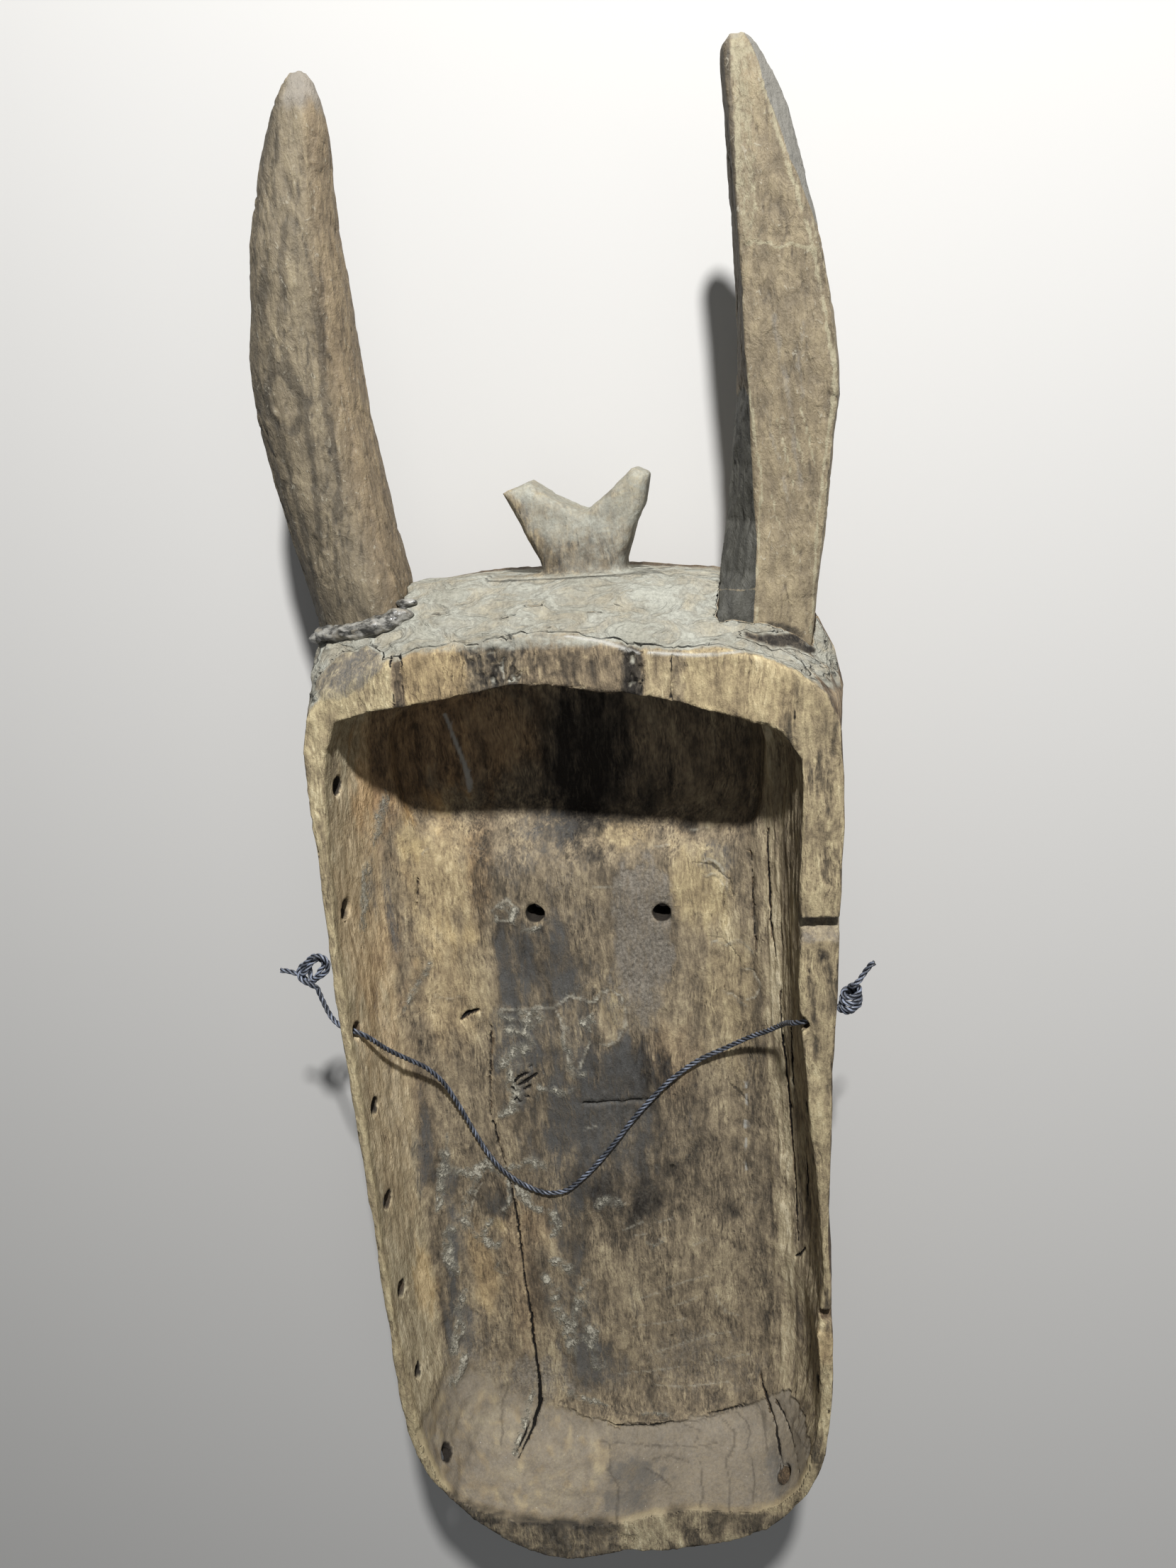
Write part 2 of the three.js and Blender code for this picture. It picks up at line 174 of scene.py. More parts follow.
DRAW = np.random.default_rng(7)
SHUFFLE = np.tile(DRAW.permutation(256), 2)
SLOPES = DRAW.normal(size=(256, 3))
SLOPES /= np.linalg.norm(SLOPES, axis=1)[:, None]
CHANCE = DRAW.random(256)


def hashed(cells, seed=0):
    """A number from 0 to 255 for each row of whole numbers."""
    pick = np.full(len(cells), seed % 256)
    for column in cells.T:
        pick = SHUFFLE[(pick ^ column) & 255]
    return pick


def noise(points, size, seed=0):
    """Smooth noise from about -1 to 1, with lumps of the given size, one length or three."""
    place = points / np.asarray(size) + 7.13 * seed
    cell = np.floor(place).astype(int)
    part = place - cell
    fade = part**3 * (part * (part * 6 - 15) + 10)
    total = np.zeros(len(points))
    for corner in np.ndindex(2, 2, 2):
        slope = SLOPES[hashed(cell + corner, seed)]
        weight = np.prod(np.where(corner, fade, 1 - fade), axis=1)
        total += weight * ((part - corner) * slope).sum(1)
    return total * 1.7


def rough_noise(points, size, seed=0, layers=3):
    """Noise with finer layers added, each at half the size and half the height."""
    size = np.asarray(size, float)
    return sum(noise(points, size / 2**i, seed + 5 * i) / 2**i for i in range(layers))


def ramp(values, low, high):
    """0 below low, 1 above high, smooth between; low may be the larger."""
    t = np.clip((values - low) / (high - low), 0, 1)
    return t * t * (3 - 2 * t)


def scoops(across, along, width, length, seed=0):
    """Tool marks side by side: squared distance to the nearest mark's middle, and a number for each mark."""
    u, v = across / width, along / length
    cell = np.stack([np.floor(u), np.floor(v)], 1).astype(int)
    best = np.full(len(u), 9.0)
    number = np.zeros(len(u))
    for du in (-1, 0, 1):
        for dv in (-1, 0, 1):
            at = cell + (du, dv)
            first, second = hashed(at, seed), hashed(at, seed + 91)
            across_mark = u - at[:, 0] - 0.2 - 0.6 * CHANCE[first]
            d = across_mark**2 + (v - at[:, 1] - 0.2 - 0.6 * CHANCE[second]) ** 2
            nearer = d < best
            best = np.where(nearer, d, best)
            number = np.where(nearer, CHANCE[(first + second) % 256], number)
    return best, number


def line_distance(x, y, line):
    """Distance from each place to a line of x, y and tenths of width, and the line's half width there."""
    best = np.full(len(x), 1e3)
    half = np.zeros(len(x))
    stops = np.reshape(line, (-1, 3)) / (1, 1, 10)
    for (ax, ay, aw), (bx, by, bw) in zip(stops[:-1], stops[1:]):
        run = max((bx - ax) ** 2 + (by - ay) ** 2, 1e-9)
        t = np.clip(((x - ax) * (bx - ax) + (y - ay) * (by - ay)) / run, 0, 1)
        d = np.hypot(x - ax - t * (bx - ax), y - ay - t * (by - ay))
        nearer = d < best
        best = np.where(nearer, d, best)
        half = np.where(nearer, (aw + t * (bw - aw)) / 2, half)
    return best, half


def drawn(x, y, lines, profile):
    """The strongest of several lines, each shaped by a function of the distance to it and its half width."""
    total = np.zeros(len(x))
    for line in lines:
        total = np.maximum(total, profile(*line_distance(x, y, line)))
    return total


def strokes(x, y, lines, soft=1.2):
    """Soft strokes along lines whose widths are half of the stroke's."""

    def profile(distance, half):
        reach = np.maximum(2 * half - soft, 0)
        return ramp(distance, reach + 2 * np.minimum(soft, 2 * half), reach)

    return drawn(x, y, lines, profile)


def spread(x, y, marks, ragged, outer=1.4, full=0.55):
    """The sum of several oval marks: x, y, half width, half length, hundredths of strength, turn."""
    total = np.zeros(len(x))
    for mark in marks:
        cx, cy, half_x, half_y, strength, turn = (*mark, 0)[:6]
        c, s = math.cos(math.radians(turn)), math.sin(math.radians(turn))
        across = ((x - cx) * c + (y - cy) * s) / half_x
        along = (-(x - cx) * s + (y - cy) * c) / half_y
        total += strength / 100 * ramp(np.hypot(across, along) + ragged, outer, full)
    return total


# Meshes


def points_of(mesh):
    co = np.empty(len(mesh.vertices) * 3)
    mesh.vertices.foreach_get("co", co)
    return co.reshape(-1, 3)


def normals_of(mesh):
    out = np.empty(len(mesh.vertices) * 3, np.float32)
    mesh.vertex_normals.foreach_get("vector", out)
    return out.reshape(-1, 3).astype(float)


def set_points(mesh, co):
    mesh.vertices.foreach_set("co", co.astype(np.float32).ravel())
    mesh.update()


def smoothed(mesh, co, rounds, share=0.5):
    """The points moved towards their neighbours' middle, rounds times."""
    edges = np.empty(len(mesh.edges) * 2, np.int32)
    mesh.edges.foreach_get("vertices", edges)
    a, b = edges.reshape(-1, 2).T
    count = len(co)
    degree = np.maximum(np.bincount(a, minlength=count) + np.bincount(b, minlength=count), 1)
    for _ in range(rounds):
        middle = np.empty_like(co)
        for axis in range(3):
            near = np.bincount(a, co[b, axis], count) + np.bincount(b, co[a, axis], count)
            middle[:, axis] = near / degree
        co = co + share * (middle - co)
    return co


def with_modifier(obj, kind, **values):
    """The object's mesh after one modifier, which isn't kept."""
    modifier = obj.modifiers.new("Once", kind)
    for key, value in values.items():
        setattr(modifier, key, value)
    graph = bpy.context.evaluated_depsgraph_get()
    mesh = bpy.data.meshes.new_from_object(obj.evaluated_get(graph))
    obj.modifiers.clear()
    old = obj.data
    obj.data = mesh
    bpy.data.meshes.remove(old)
    return mesh


def new_object(name, data):
    """An object in the scene; data is its mesh, light or camera, or a bmesh that is used up."""
    if isinstance(data, bmesh.types.BMesh):
        mesh = bpy.data.meshes.new(name)
        data.to_mesh(mesh)
        data.free()
        data = mesh
    obj = bpy.data.objects.new(name, data)
    bpy.context.scene.collection.objects.link(obj)
    return obj


def unit(rows):
    """Each row as a direction of length 1."""
    return rows / np.linalg.norm(rows, axis=1)[:, None]


def recarved(node, name, fineness, rounds):
    """A copy of a CAD node whose surface is even and fine, with its edges a little rounded."""
    obj = new_object(name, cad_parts[node].data.copy())
    mesh = with_modifier(obj, "REMESH", mode="VOXEL", voxel_size=fineness, use_smooth_shade=True)
    co = points_of(mesh)
    for _ in range(rounds):
        co = smoothed(mesh, co, 1, 0.55)
        co = smoothed(mesh, co, 1, -0.5)
    set_points(mesh, smoothed(mesh, co, 1, 0.4))
    return obj


def thin_out(obj, chosen, kept):
    """Collapses edges between the chosen points, the flattest first, until about that many are left."""
    surplus = int(chosen.sum()) - kept
    if surplus <= 0:
        return
    triangles = sum(len(p.vertices) - 2 for p in obj.data.polygons)
    group = obj.vertex_groups.new(name="Thinned")
    group.add(np.flatnonzero(chosen).tolist(), 1.0, "REPLACE")
    ratio = 1 - 2 * surplus / triangles
    with_modifier(obj, "DECIMATE", ratio=ratio, use_collapse_triangulate=True, vertex_group=group.name)
    obj.vertex_groups.clear()


def store(mesh, name, channels):
    """Keeps up to three numbers for each point, as a colour that the material reads."""
    layer = mesh.attributes.new(name, "FLOAT_COLOR", "POINT")
    values = np.ones((len(mesh.vertices), 4))
    values[:, :3] = np.clip(np.stack(channels, 1), 0, 1)
    layer.data.foreach_set("color", values.astype(np.float32).ravel())


def ridges(mesh, rounds):
    """How far each point stands out from its smoothed place, in metres: ridges above 0, hollows below."""
    co = points_of(mesh)
    return ((co - smoothed(mesh, co, rounds)) * normals_of(mesh)).sum(1)


# Shader nodes


def sign(operation, swapped=False):
    """What a sign does between two values in a node tree."""

    def act(self, other=0.0):
        return self.tree.math(operation, *((other, self) if swapped else (self, other)))

    return act


class Value:
    """A number, a colour or a place in a node tree; the signs between values add the nodes for the sum."""

    __add__ = __radd__ = sign("ADD")
    __mul__ = __rmul__ = sign("MULTIPLY")
    __sub__ = sign("SUBTRACT")
    __rsub__ = sign("SUBTRACT", True)
    __rtruediv__ = sign("DIVIDE", True)
    __abs__ = sign("ABSOLUTE")

    def __init__(self, tree, socket):
        self.tree = tree
        self.socket = socket


class Tree:
    """Short ways to add nodes to a material or a node group and to join them."""

    def __init__(self, tree):
        self.tree = tree

    def put(self, socket, value):
        if isinstance(value, Value):
            self.tree.links.new(value.socket, socket)
        elif socket.type == "RGBA":
            socket.default_value = (*value, 1)
        else:
            socket.default_value = value

    def add(self, kind, inputs, output=0, **values):
        """The output of a new node."""
        node = self.tree.nodes.new("ShaderNode" + kind)
        for key, value in values.items():
            setattr(node, key, value)
        for key, value in inputs.items():
            self.put(node.inputs[key], value)
        return Value(self, node.outputs[output])

    def math(self, operation, a, b=0.0):
        return self.add("Math", {0: a, 1: b}, operation=operation)

    def vector(self, operation, a, b):
        return self.add("VectorMath", {0: a, 1: b}, operation=operation)

    def mix(self, share, a, b, kind="MIX"):
        return self.add("Mix", {0: share, 6: a, 7: b}, 2, data_type="RGBA", blend_type=kind)

    def span(self, value, low, high, to_low=0.0, to_high=1.0):
        inputs = {"Value": value, "From Min": low, "From Max": high, "To Min": to_low, "To Max": to_high}
        return self.add("MapRange", inputs, interpolation_type="SMOOTHSTEP")

    def place(self, scale=(1, 1, 1)):
        """The place on the piece, in metres, stretched by scale."""
        return self.add("Mapping", {"Vector": self.add("TexCoord", {}, "Object"), "Scale": scale})

    def noise(self, vector, scale, detail=3.0, roughness=0.55, distortion=0.0, output="Fac"):
        names = ("Vector", "Scale", "Detail", "Roughness", "Distortion")
        return self.add("TexNoise", dict(zip(names, (vector, scale, detail, roughness, distortion))), output)

    def painted(self, name):
        """The three stored numbers of that name."""
        parts = self.add("SeparateColor", {0: self.add("Attribute", {}, attribute_name=name)})
        return [Value(self, socket) for socket in parts.socket.node.outputs[:3]]

    def group(self, group, inputs):
        node = self.add("Group", {}, node_tree=group).socket.node
        for key, value in inputs.items():
            self.put(node.inputs[key], value)
        return {socket.name: Value(self, socket) for socket in node.outputs}


def new_group(name, inputs, outputs):
    """An empty node group, as (tree, values of the inputs, function that joins the outputs)."""
    group = bpy.data.node_groups.new(name, "ShaderNodeTree")
    for socket, value in inputs.items():
        made = group.interface.new_socket(socket, in_out="INPUT", socket_type="NodeSocketFloat")
        made.default_value = value
    for socket in outputs:
        group.interface.new_socket(socket, in_out="OUTPUT", socket_type="NodeSocketFloat")
    tree = Tree(group)
    start, end = group.nodes.new("NodeGroupInput"), group.nodes.new("NodeGroupOutput")
    given = [Value(tree, start.outputs[socket]) for socket in inputs]

    def give(*values):
        for socket, value in zip(outputs, values):
            tree.put(end.inputs[socket], value)
        return group

    return tree, given, give


WOOD_STEPS = (
    (0.00, (0.018, 0.015, 0.012)), (0.20, (0.055, 0.047, 0.036)), (0.38, (0.115, 0.094, 0.066)),
    (0.52, (0.205, 0.166, 0.112)), (0.66, (0.315, 0.258, 0.170)), (0.82, (0.445, 0.378, 0.245)),
    (1.00, (0.640, 0.565, 0.395)),
)


def grain_group():
    """How old wood's shade swings along its grain, and the relief of its fibres."""
    t, (width, contrast), give = new_group(
        "Wood grain", {"Width": 0.0045, "Contrast": 1.0}, ("Swing", "Relief", "Fine")
    )
    bend = t.vector("SUBTRACT", t.noise(t.place(), 55.0, 2.0, 0.5, output="Color"), (0.5, 0.5, 0.5))
    bent = t.vector("ADD", t.place(), t.add("VectorMath", {0: bend, 3: 0.007}, operation="SCALE"))

    def along_grain(stretch):
        return t.vector("MULTIPLY", bent, (1.0, stretch, 1.0))

    blotch = t.noise(t.place((1, 0.5, 1)), 48.0, 4, 0.62, 0.6)
    streak = t.noise(along_grain(0.13), 1.0 / width, 3, 0.6, 0.5)
    hair = t.noise(along_grain(0.09), 4.4 / width, 3, 0.62, 0.2)
    mottle = t.noise(t.place((1, 0.5, 1)), 170.0, 5, 0.62, 0.3)
    speck = t.noise(t.place((1, 0.35, 1)), 680.0, 3, 0.65)
    pores = t.noise(along_grain(0.14), 5.0 / width, 1, 0.5)
    hairy = t.span(t.noise(t.place((1, 0.4, 1)), 70.0, 3, 0.6), 0.38, 0.62, 0.25, 1.0)
    deep = t.span(pores, 0.34, 0.27) * hairy
    swing = (blotch - 0.5) * 0.40 + (streak - 0.5) * 0.42 + (mottle - 0.5) * 0.42 + (speck - 0.5) * 0.38
    swing = swing + (hair - 0.5) * hairy * 0.72 - deep * 0.13
    relief = hair * 0.6 + streak * 0.7 + mottle * 2.2 + speck * 0.5 - deep * 0.4
    return give(swing * contrast, relief, t.noise(t.place(), 1100.0, 3, 0.6))


def ragged_group():
    """Turns a soft stored mark into one with broken, grainy edges."""
    inputs = {"Mark": 0.0, "Break-up": 0.6, "Size": 0.004, "Softness": 0.2, "Stretch": 1.0}
    t, (mark, broken, size, softness, stretch), give = new_group("Ragged mark", inputs, ("Mark",))
    place = t.vector("MULTIPLY", t.place(), t.add("CombineXYZ", {0: 1.0, 1: stretch, 2: 1.0}))
    moved = mark + (t.noise(place, 1.0 / size, 6, 0.68, 0.4) - 0.5) * broken * 2.0
    return give(t.span(moved, 0.5 - softness, 0.5 + softness) * t.span(mark, 0.0, 0.15))


def flaking_group():
    """Thin dried film that breaks into plates: pale crumbs, a haze round them, plates' edges and relief."""
    inputs = {"Mark": 0.0, "Film": 0.0, "Plate size": 0.011}
    t, (mark, film, size), give = new_group("Flaking film", inputs, ("Crust", "Haze", "Edge", "Relief"))
    plates = t.noise(t.place((1, 0.7, 1)), 1.0 / size, 4, 0.55, 0.9)
    clumps = t.noise(t.place((1, 0.6, 1)), 170.0, 3, 0.6)
    crumbs = t.noise(t.place((1, 0.7, 1)), 460.0, 5, 0.72, 0.3)
    level = mark * 0.42 + (clumps - 0.5) * 0.55 + (crumbs - 0.5)
    crust = t.span(level, 0.24, 0.42) * t.span(mark, 0.04, 0.3)
    haze = t.span(level, 0.02, 0.34) * t.span(mark, 0.02, 0.5)
    any_film = t.math("MAXIMUM", mark, film)
    edge = t.span(abs(plates - 0.505), 0.012, 0.003) * any_film
    return give(crust, haze, edge, t.span(plates, 0.485, 0.505) * 0.7 * any_film + crust * 0.9)


def wood_colour(t, tone):
    """Old wood from almost black to pale tan."""
    colour = t.add("ValToRGB", {0: tone})
    stops = colour.socket.node.color_ramp.elements
    for position, shade_there in WOOD_STEPS[1:-1]:
        stops.new(position).color = (*shade_there, 1)
    for stop, (_, shade_there) in ((stops[0], WOOD_STEPS[0]), (stops[-1], WOOD_STEPS[-1])):
        stop.color = (*shade_there, 1)
    return colour


def tinted(t, colour, share, tint):
    """The colour times a tint, by the given share."""
    return t.mix(share, colour, t.mix(1.0, colour, tint, "MULTIPLY"))


def new_material(name):
    """The tree of a new material, and a function that joins the last colour, roughness and relief."""
    material = bpy.data.materials.new(name)
    material.use_nodes = True
    tree = Tree(material.node_tree)
    sockets = material.node_tree.nodes["Principled BSDF"].inputs

    def finish(colour, roughness, relief, depth, shine):
        tree.put(sockets["Base Color"], colour)
        tree.put(sockets["Roughness"], roughness)
        tree.put(sockets["Normal"], tree.add("Bump", {"Height": relief, "Strength": 1.0, "Distance": depth}))
        sockets["Specular IOR Level"].default_value = shine
        return material

    return tree, finish


def shade(colour, factor):
    return tuple(min(c * factor, 1.0) for c in colour)


def ragged_marks(t):
    """A short way to give a stored mark broken edges."""

    def ragged(mark, amount, size, softness=0.2, stretch=1.0):
        inputs = {"Mark": mark, "Break-up": amount, "Size": size, "Softness": softness, "Stretch": stretch}
        return t.group(shared_group(ragged_group), inputs)["Mark"]

    return ragged


RED_TINT = (1.10, 0.89, 0.72)
YELLOW_TINT = (1.05, 1.0, 0.84)


def body_material(s):
    """Old wood of the block: a painted tone over grain, with dirt, film and crust on it, and painted light
    and shade: dark bores, cuts and shadows beside lifted film edges, and a pale glint along the brow's rim.
    """
    t, finish = new_material("Old carved wood")
    tone, red, yellow = t.painted("wood")
    mauve, crust, slate = t.painted("dirt")
    dust, crack_shade, outside = t.painted("edge")
    shine, line, film = t.painted("spots")
    lifted, bore, chin = t.painted("lines")
    ragged = ragged_marks(t)
    smooth = t.span(chin, 0.2, 0.9)
    grain = t.group(shared_group(grain_group), {"Width": 0.0046, "Contrast": 1.25 - smooth * 0.85})
    swing, fine = grain["Swing"], grain["Fine"]
    colour = tinted(t, wood_colour(t, tone + swing), red, RED_TINT)
    colour = tinted(t, colour, yellow, YELLOW_TINT)
    rubbed_and_highlit = wood_colour(t, swing * 0.9 + 0.32)
    colour = t.mix(ragged(outside, 0.3, 0.006, 0.3, 0.3), colour, tinted(t, rubbed_and_highlit, 0.8, RED_TINT))
    grit = t.noise(t.place(), 520.0, 4, 0.7)
    cloud = t.noise(t.place((1, 0.6, 1)), 75.0, 5, 0.62) - 0.5
    sand = (t.span(grit, 0.3, 0.7) - 0.5) * t.span(chin, 0, 1, 1, 0.45) + cloud * 0.9 + 0.5
    veil = ragged(mauve, 0.8, 0.004, 0.5, 0.5) * t.span(swing, -0.2, 0.15, 0.95, 0.5)
    colour = t.mix(veil, colour, t.mix(sand, shade(s.mauve, 0.5), shade(s.mauve, 1.4)))
    film_blue = ragged(slate, 1.1, 0.006, 0.5, 0.22) * t.span(swing, -0.2, 0.2, 0.8, 0.3)
    colour = t.mix(film_blue, colour, t.mix(fine, shade(s.slate, 0.7), shade(s.slate, 1.35)))
    flaking = t.group(shared_group(flaking_group), {"Mark": crust, "Film": film, "Plate size": 0.012})
    colour = t.mix(flaking["Edge"] * t.span(grit, 0.35, 0.6, 0.1, 0.6), colour, shade(s.crust, 1.1))
    pale = t.mix(t.span(grit, 0.3, 0.7), shade(s.crust, 0.66), shade(s.crust, 1.35))
    colour = t.mix(flaking["Haze"] * t.span(grit, 0.3, 0.7, 0.3, 0.75), colour, shade(s.crust, 0.66))
    colour = t.mix(flaking["Crust"] * t.span(grit, 0.3, 0.6, 0.45, 0.95), colour, pale)
    white = t.span(t.noise(t.place(), 760.0, 1, 0.5), 0.77, 0.80) * t.span(mauve, 0.3, 0.7)
    colour = t.mix(white * 0.6, colour, (0.62, 0.60, 0.54))
    waves = t.noise(t.place((0.5, 1, 1)), 100.0, 4, 0.56, 1.1)
    thick_dust = t.span(dust, 0.8, 1.0)
    powder = ragged(dust, 0.6, 0.005, 0.4) * t.span(waves, 0.38, 0.54, 0.6, 1.0)
    dusty = t.mix(t.span(grit, 0.25, 0.75), shade(s.dust, 0.78), shade(s.dust, 1.2))
    patches = t.span(t.noise(t.place(), 42.0, 4, 0.6), 0.38, 0.62)
    dusty = t.mix(patches, tinted(t, dusty, 1.0, (0.80, 0.78, 0.75)), dusty)
    colour = t.mix(powder, colour, dusty)
    wave_line = t.span(abs(waves - 0.5), 0.04, 0.0) * dust * thick_dust
    colour = t.mix(wave_line * 0.36, colour, (0.16, 0.145, 0.12))
    # Pale dried drips, and the painted highlight of the glint along the brow's rim, both a little glossy.
    colour = t.mix(shine * 0.85, colour, (0.44, 0.43, 0.39))
    # Dark drying lines on the chin, and painted shadows beside lifted film edges.
    colour = t.mix(line * 0.8, colour, (0.05, 0.041, 0.032))
    colour = t.mix(lifted * t.span(grit, 0.3, 0.6, 0.15, 0.85), colour, shade(s.crust, 1.05))
    # Painted shade: the holes' bores almost black.
    colour = t.mix(bore, colour, (0.03, 0.024, 0.018))
    # Painted shade: the open cracks, pits, chip edges and rim grooves almost black.
    colour = t.mix(t.span(crack_shade, 0.25, 0.75), colour, (0.010, 0.008, 0.006))
    calm = t.math("MAXIMUM", smooth * 0.8, dust * 0.7)
    relief = grain["Relief"] * (1.0 - calm) + flaking["Relief"] + fine * 0.3 + waves * thick_dust * 9.0
    return finish(colour, 0.84 - slate * 0.2 - shine * 0.5, relief, 0.0007, 0.35)


def horn_material(s, name):
    """Old wood of a horn: paler on its ridges from wear, with painted dark and grey sides, and painted shade
    where it faces down, on the left horn's left side and at the right horn's foot.
    """
    t, finish = new_material(name)
    tone, red, yellow = t.painted("horn")
    black, slate, tip = t.painted("horn_dirt")
    pale, blue, vein = t.painted("horn_wear")
    ragged = ragged_marks(t)
    grain = t.group(shared_group(grain_group), {"Width": 0.0056, "Contrast": 0.42})
    fine = grain["Fine"]
    mottle = t.noise(t.place((1, 0.5, 1)), 120.0, 5, 0.66, 0.9)
    smoke = t.noise(t.place((1, 0.25, 1)), 62.0, 5, 0.62, 1.6)
    level = tone + grain["Swing"] + (mottle - 0.5) * 0.36 - t.span(smoke, 0.48, 0.70) * 0.06
    level = level - ragged(vein, 0.9, 0.004, 0.5, 0.5) * 0.15
    colour = tinted(t, wood_colour(t, level), 1.0, (0.98, 1.0, 0.99))
    colour = tinted(t, colour, red, RED_TINT)
    colour = tinted(t, colour, yellow, YELLOW_TINT)
    flecks = t.noise(t.place((1, 0.6, 1)), 330.0, 4, 0.66, 1.3)
    scuff = t.span(flecks, 0.60, 0.67) * t.span(mottle, 0.4, 0.6, 0.15, 0.6)
    colour = t.mix(scuff, colour, (0.42, 0.385, 0.30))
    chalk = t.mix(fine, (0.30, 0.262, 0.172), (0.46, 0.42, 0.285))
    colour = t.mix(ragged(pale, 0.9, 0.0026, 0.25, 0.55) * 0.75, colour, chalk)
    colour = t.mix(ragged(blue, 0.9, 0.0025, 0.4, 0.5) * 0.22, colour, (0.30, 0.305, 0.30))
    grey = t.mix(fine, shade(s.slate, 0.75), shade(s.slate, 1.25))
    colour = t.mix(ragged(slate, 0.45, 0.004, 0.25, 0.4), colour, grey)
    sooty = t.mix(t.span(smoke, 0.35, 0.65), shade(s.black, 0.65), shade(s.black, 1.5))
    colour = t.mix(ragged(black, 0.25, 0.004, 0.15, 0.3), colour, sooty)
    colour = t.mix(ragged(tip, 0.5, 0.006, 0.45) * 0.8, colour, s.tip)
    relief = grain["Relief"] * 0.8 + fine * 0.3 + flecks * 1.3 + mottle * 2.5
    return finish(colour, t.span(fine, 0.2, 0.8, 0.58, 0.78), relief, 0.0005, 0.4)


def pitch_material(s):
    """Dark pitch whose folds shine, with thin grey patches in places, partly a grey bloom and partly a
    painted silver sheen.
    """
    t, finish = new_material("Old pitch")
    fine = t.noise(t.place(), 300.0, 4, 0.6)
    # Grey bloom on the pitch, which also stands for a painted silver sheen.
    bloom_and_sheen = t.span(t.noise(t.place((0.5, 1, 1)), 260.0, 4, 0.68), 0.40, 0.62)
    silt = t.span(t.noise(t.place(), 150.0, 4, 0.65), 0.52, 0.64)
    colour = t.mix(bloom_and_sheen, shade(s.colour, 0.7), shade(s.colour, 5.2))
    colour = t.mix(silt * 0.75, colour, (0.24, 0.215, 0.17))
    return finish(colour, t.span(fine, 0.3, 0.7, 0.24, 0.5), fine, 0.0006, 0.6)


def cord_material(s):
    """Dark waxed yarn with a painted highlight: grey on each strand's back, in patches along the cord, and
    almost black between the strands.
    """
    t, finish = new_material("Waxed cord")
    back, _, _ = t.painted("strand")
    threads = t.noise(t.place(), 2600.0, 3, 0.6)
    # Painted highlight: lighter copies of the yarn's colour on each strand's back, stronger in patches along
    # the cord.
    wear_and_glint = t.span(t.noise(t.place(), 130.0, 3, 0.6), 0.42, 0.66, 0.25, 1.0)
    colour = t.mix(threads, shade(s.colour, 0.3), shade(s.colour, 1.0))
    rubbed_and_highlit = t.mix(threads, shade(s.colour, 5.0), shade(s.colour, 17.0))
    colour = t.mix(t.span(back, 0.55, 0.95) * wear_and_glint, colour, rubbed_and_highlit)
    return finish(colour, t.span(threads, 0.2, 0.8, 0.26, 0.46), threads, 0.0002, 0.7)


GROUPS = {}


def shared_group(make):
    """The node group that a function makes, made once."""
    if make not in GROUPS:
        GROUPS[make] = make()
    return GROUPS[make]


# The block

FLOOR_Z = 66
# Places in the hollow with a sharp broken edge where the dark film is gone, then other marks on the wood
BARE_PATCHES = ((10, -75, 9, 16, 22), (-14, -84, 6, 21, 17, 10))
TONE_MARKS = (
    (-86, 16, 26, 44, 20), (-84, -52, 26, 40, 11), (-104, 44, 10, 14, 14), (-70, -60, 12, 34, 8),
    (-61, 22, 7, 34, -16, -3), (-52, -44, 5, 30, -11, 3), (-16, -36, 9, 26, -20), (-34, -30, 8, 24, -12),
    (-26, 6, 22, 20, 2), (64, 8, 20, 22, 16, 10), (78, -14, 16, 14, 12), (20, 36, 16, 8, 14),
    (30, -25, 18, 40, -16), (82, -64, 18, 44, 10), (44, -100, 20, 30, 5), (96, 40, 14, 40, -3),
    (14, -118, 24, 26, -36, -10), (10, -152, 26, 26, -22), (34, -106, 8, 22, -12, 10),
    (-20, -144, 16, 26, -22), (-50, -100, 14, 34, -14), (-8, -186, 18, 18, -24), (2, -206, 9, 26, -20),
    (12, -222, 5, 24, -22, -20), (24, -196, 12, 10, -18), (46, -170, 30, 8, -8, 35), (40, -236, 40, 44, 2),
    (-2, -240, 16, 40, 10), (62, -206, 12, 40, 8), (96, -150, 9, 150, -3), (60, -306, 46, 34, 2),
    (0, -310, 30, 30, 3), (-16, -324, 17, 22, -24), (-71, -207, 9, 11, -26), (-72, -222, 6, 5, 22),
    (-84, -256, 10, 30, 13, 4), (-64, -272, 6, 40, 6), (-52, -250, 7, 30, -6), (-44, -226, 9, 16, 6),
    (-44, -340, 9, 22, 12), (-76, -320, 12, 34, 4), (-118, -158, 6, 32, -20), (-110, -252, 6, 30, -26, -6),
    (-121, -290, 6, 20, -20), (-104, -186, 9, 16, -12), (-129, -164, 7, 26, 4), (-140, -246, 12, 30, 2, 4),
    # The mark at 0, 78 is painted shade: it darkens the middle of the brow's shadow on the floor.
    (-150, -120, 14, 60, 5), (-96, -130, 12, 26, 5), (-98, -226, 6, 24, 10), (0, 78, 24, 46, -50),
    (34, 52, 9, 9, -25), (-62, 90, 40, 30, 2), (73, -206, 7, 9, -16), (84, -61, 5, 6, -14),
    (24, 44, 5, 5, -30), (60, 40, 5, 4, -30), (-22, -92, 34, 62, -10), (10, -128, 40, 40, -3),
    (-24, -196, 30, 30, -6), (40, -196, 44, 26, -10), (-34, -34, 22, 34, -8), (-46, -34, 10, 30, -10),
    (-24, -226, 12, 26, -12), (-22, -262, 12, 34, -10), (40, -142, 22, 40, -6, 10), (30, -190, 30, 20, -5),
    (-44, -148, 16, 24, -10),
)
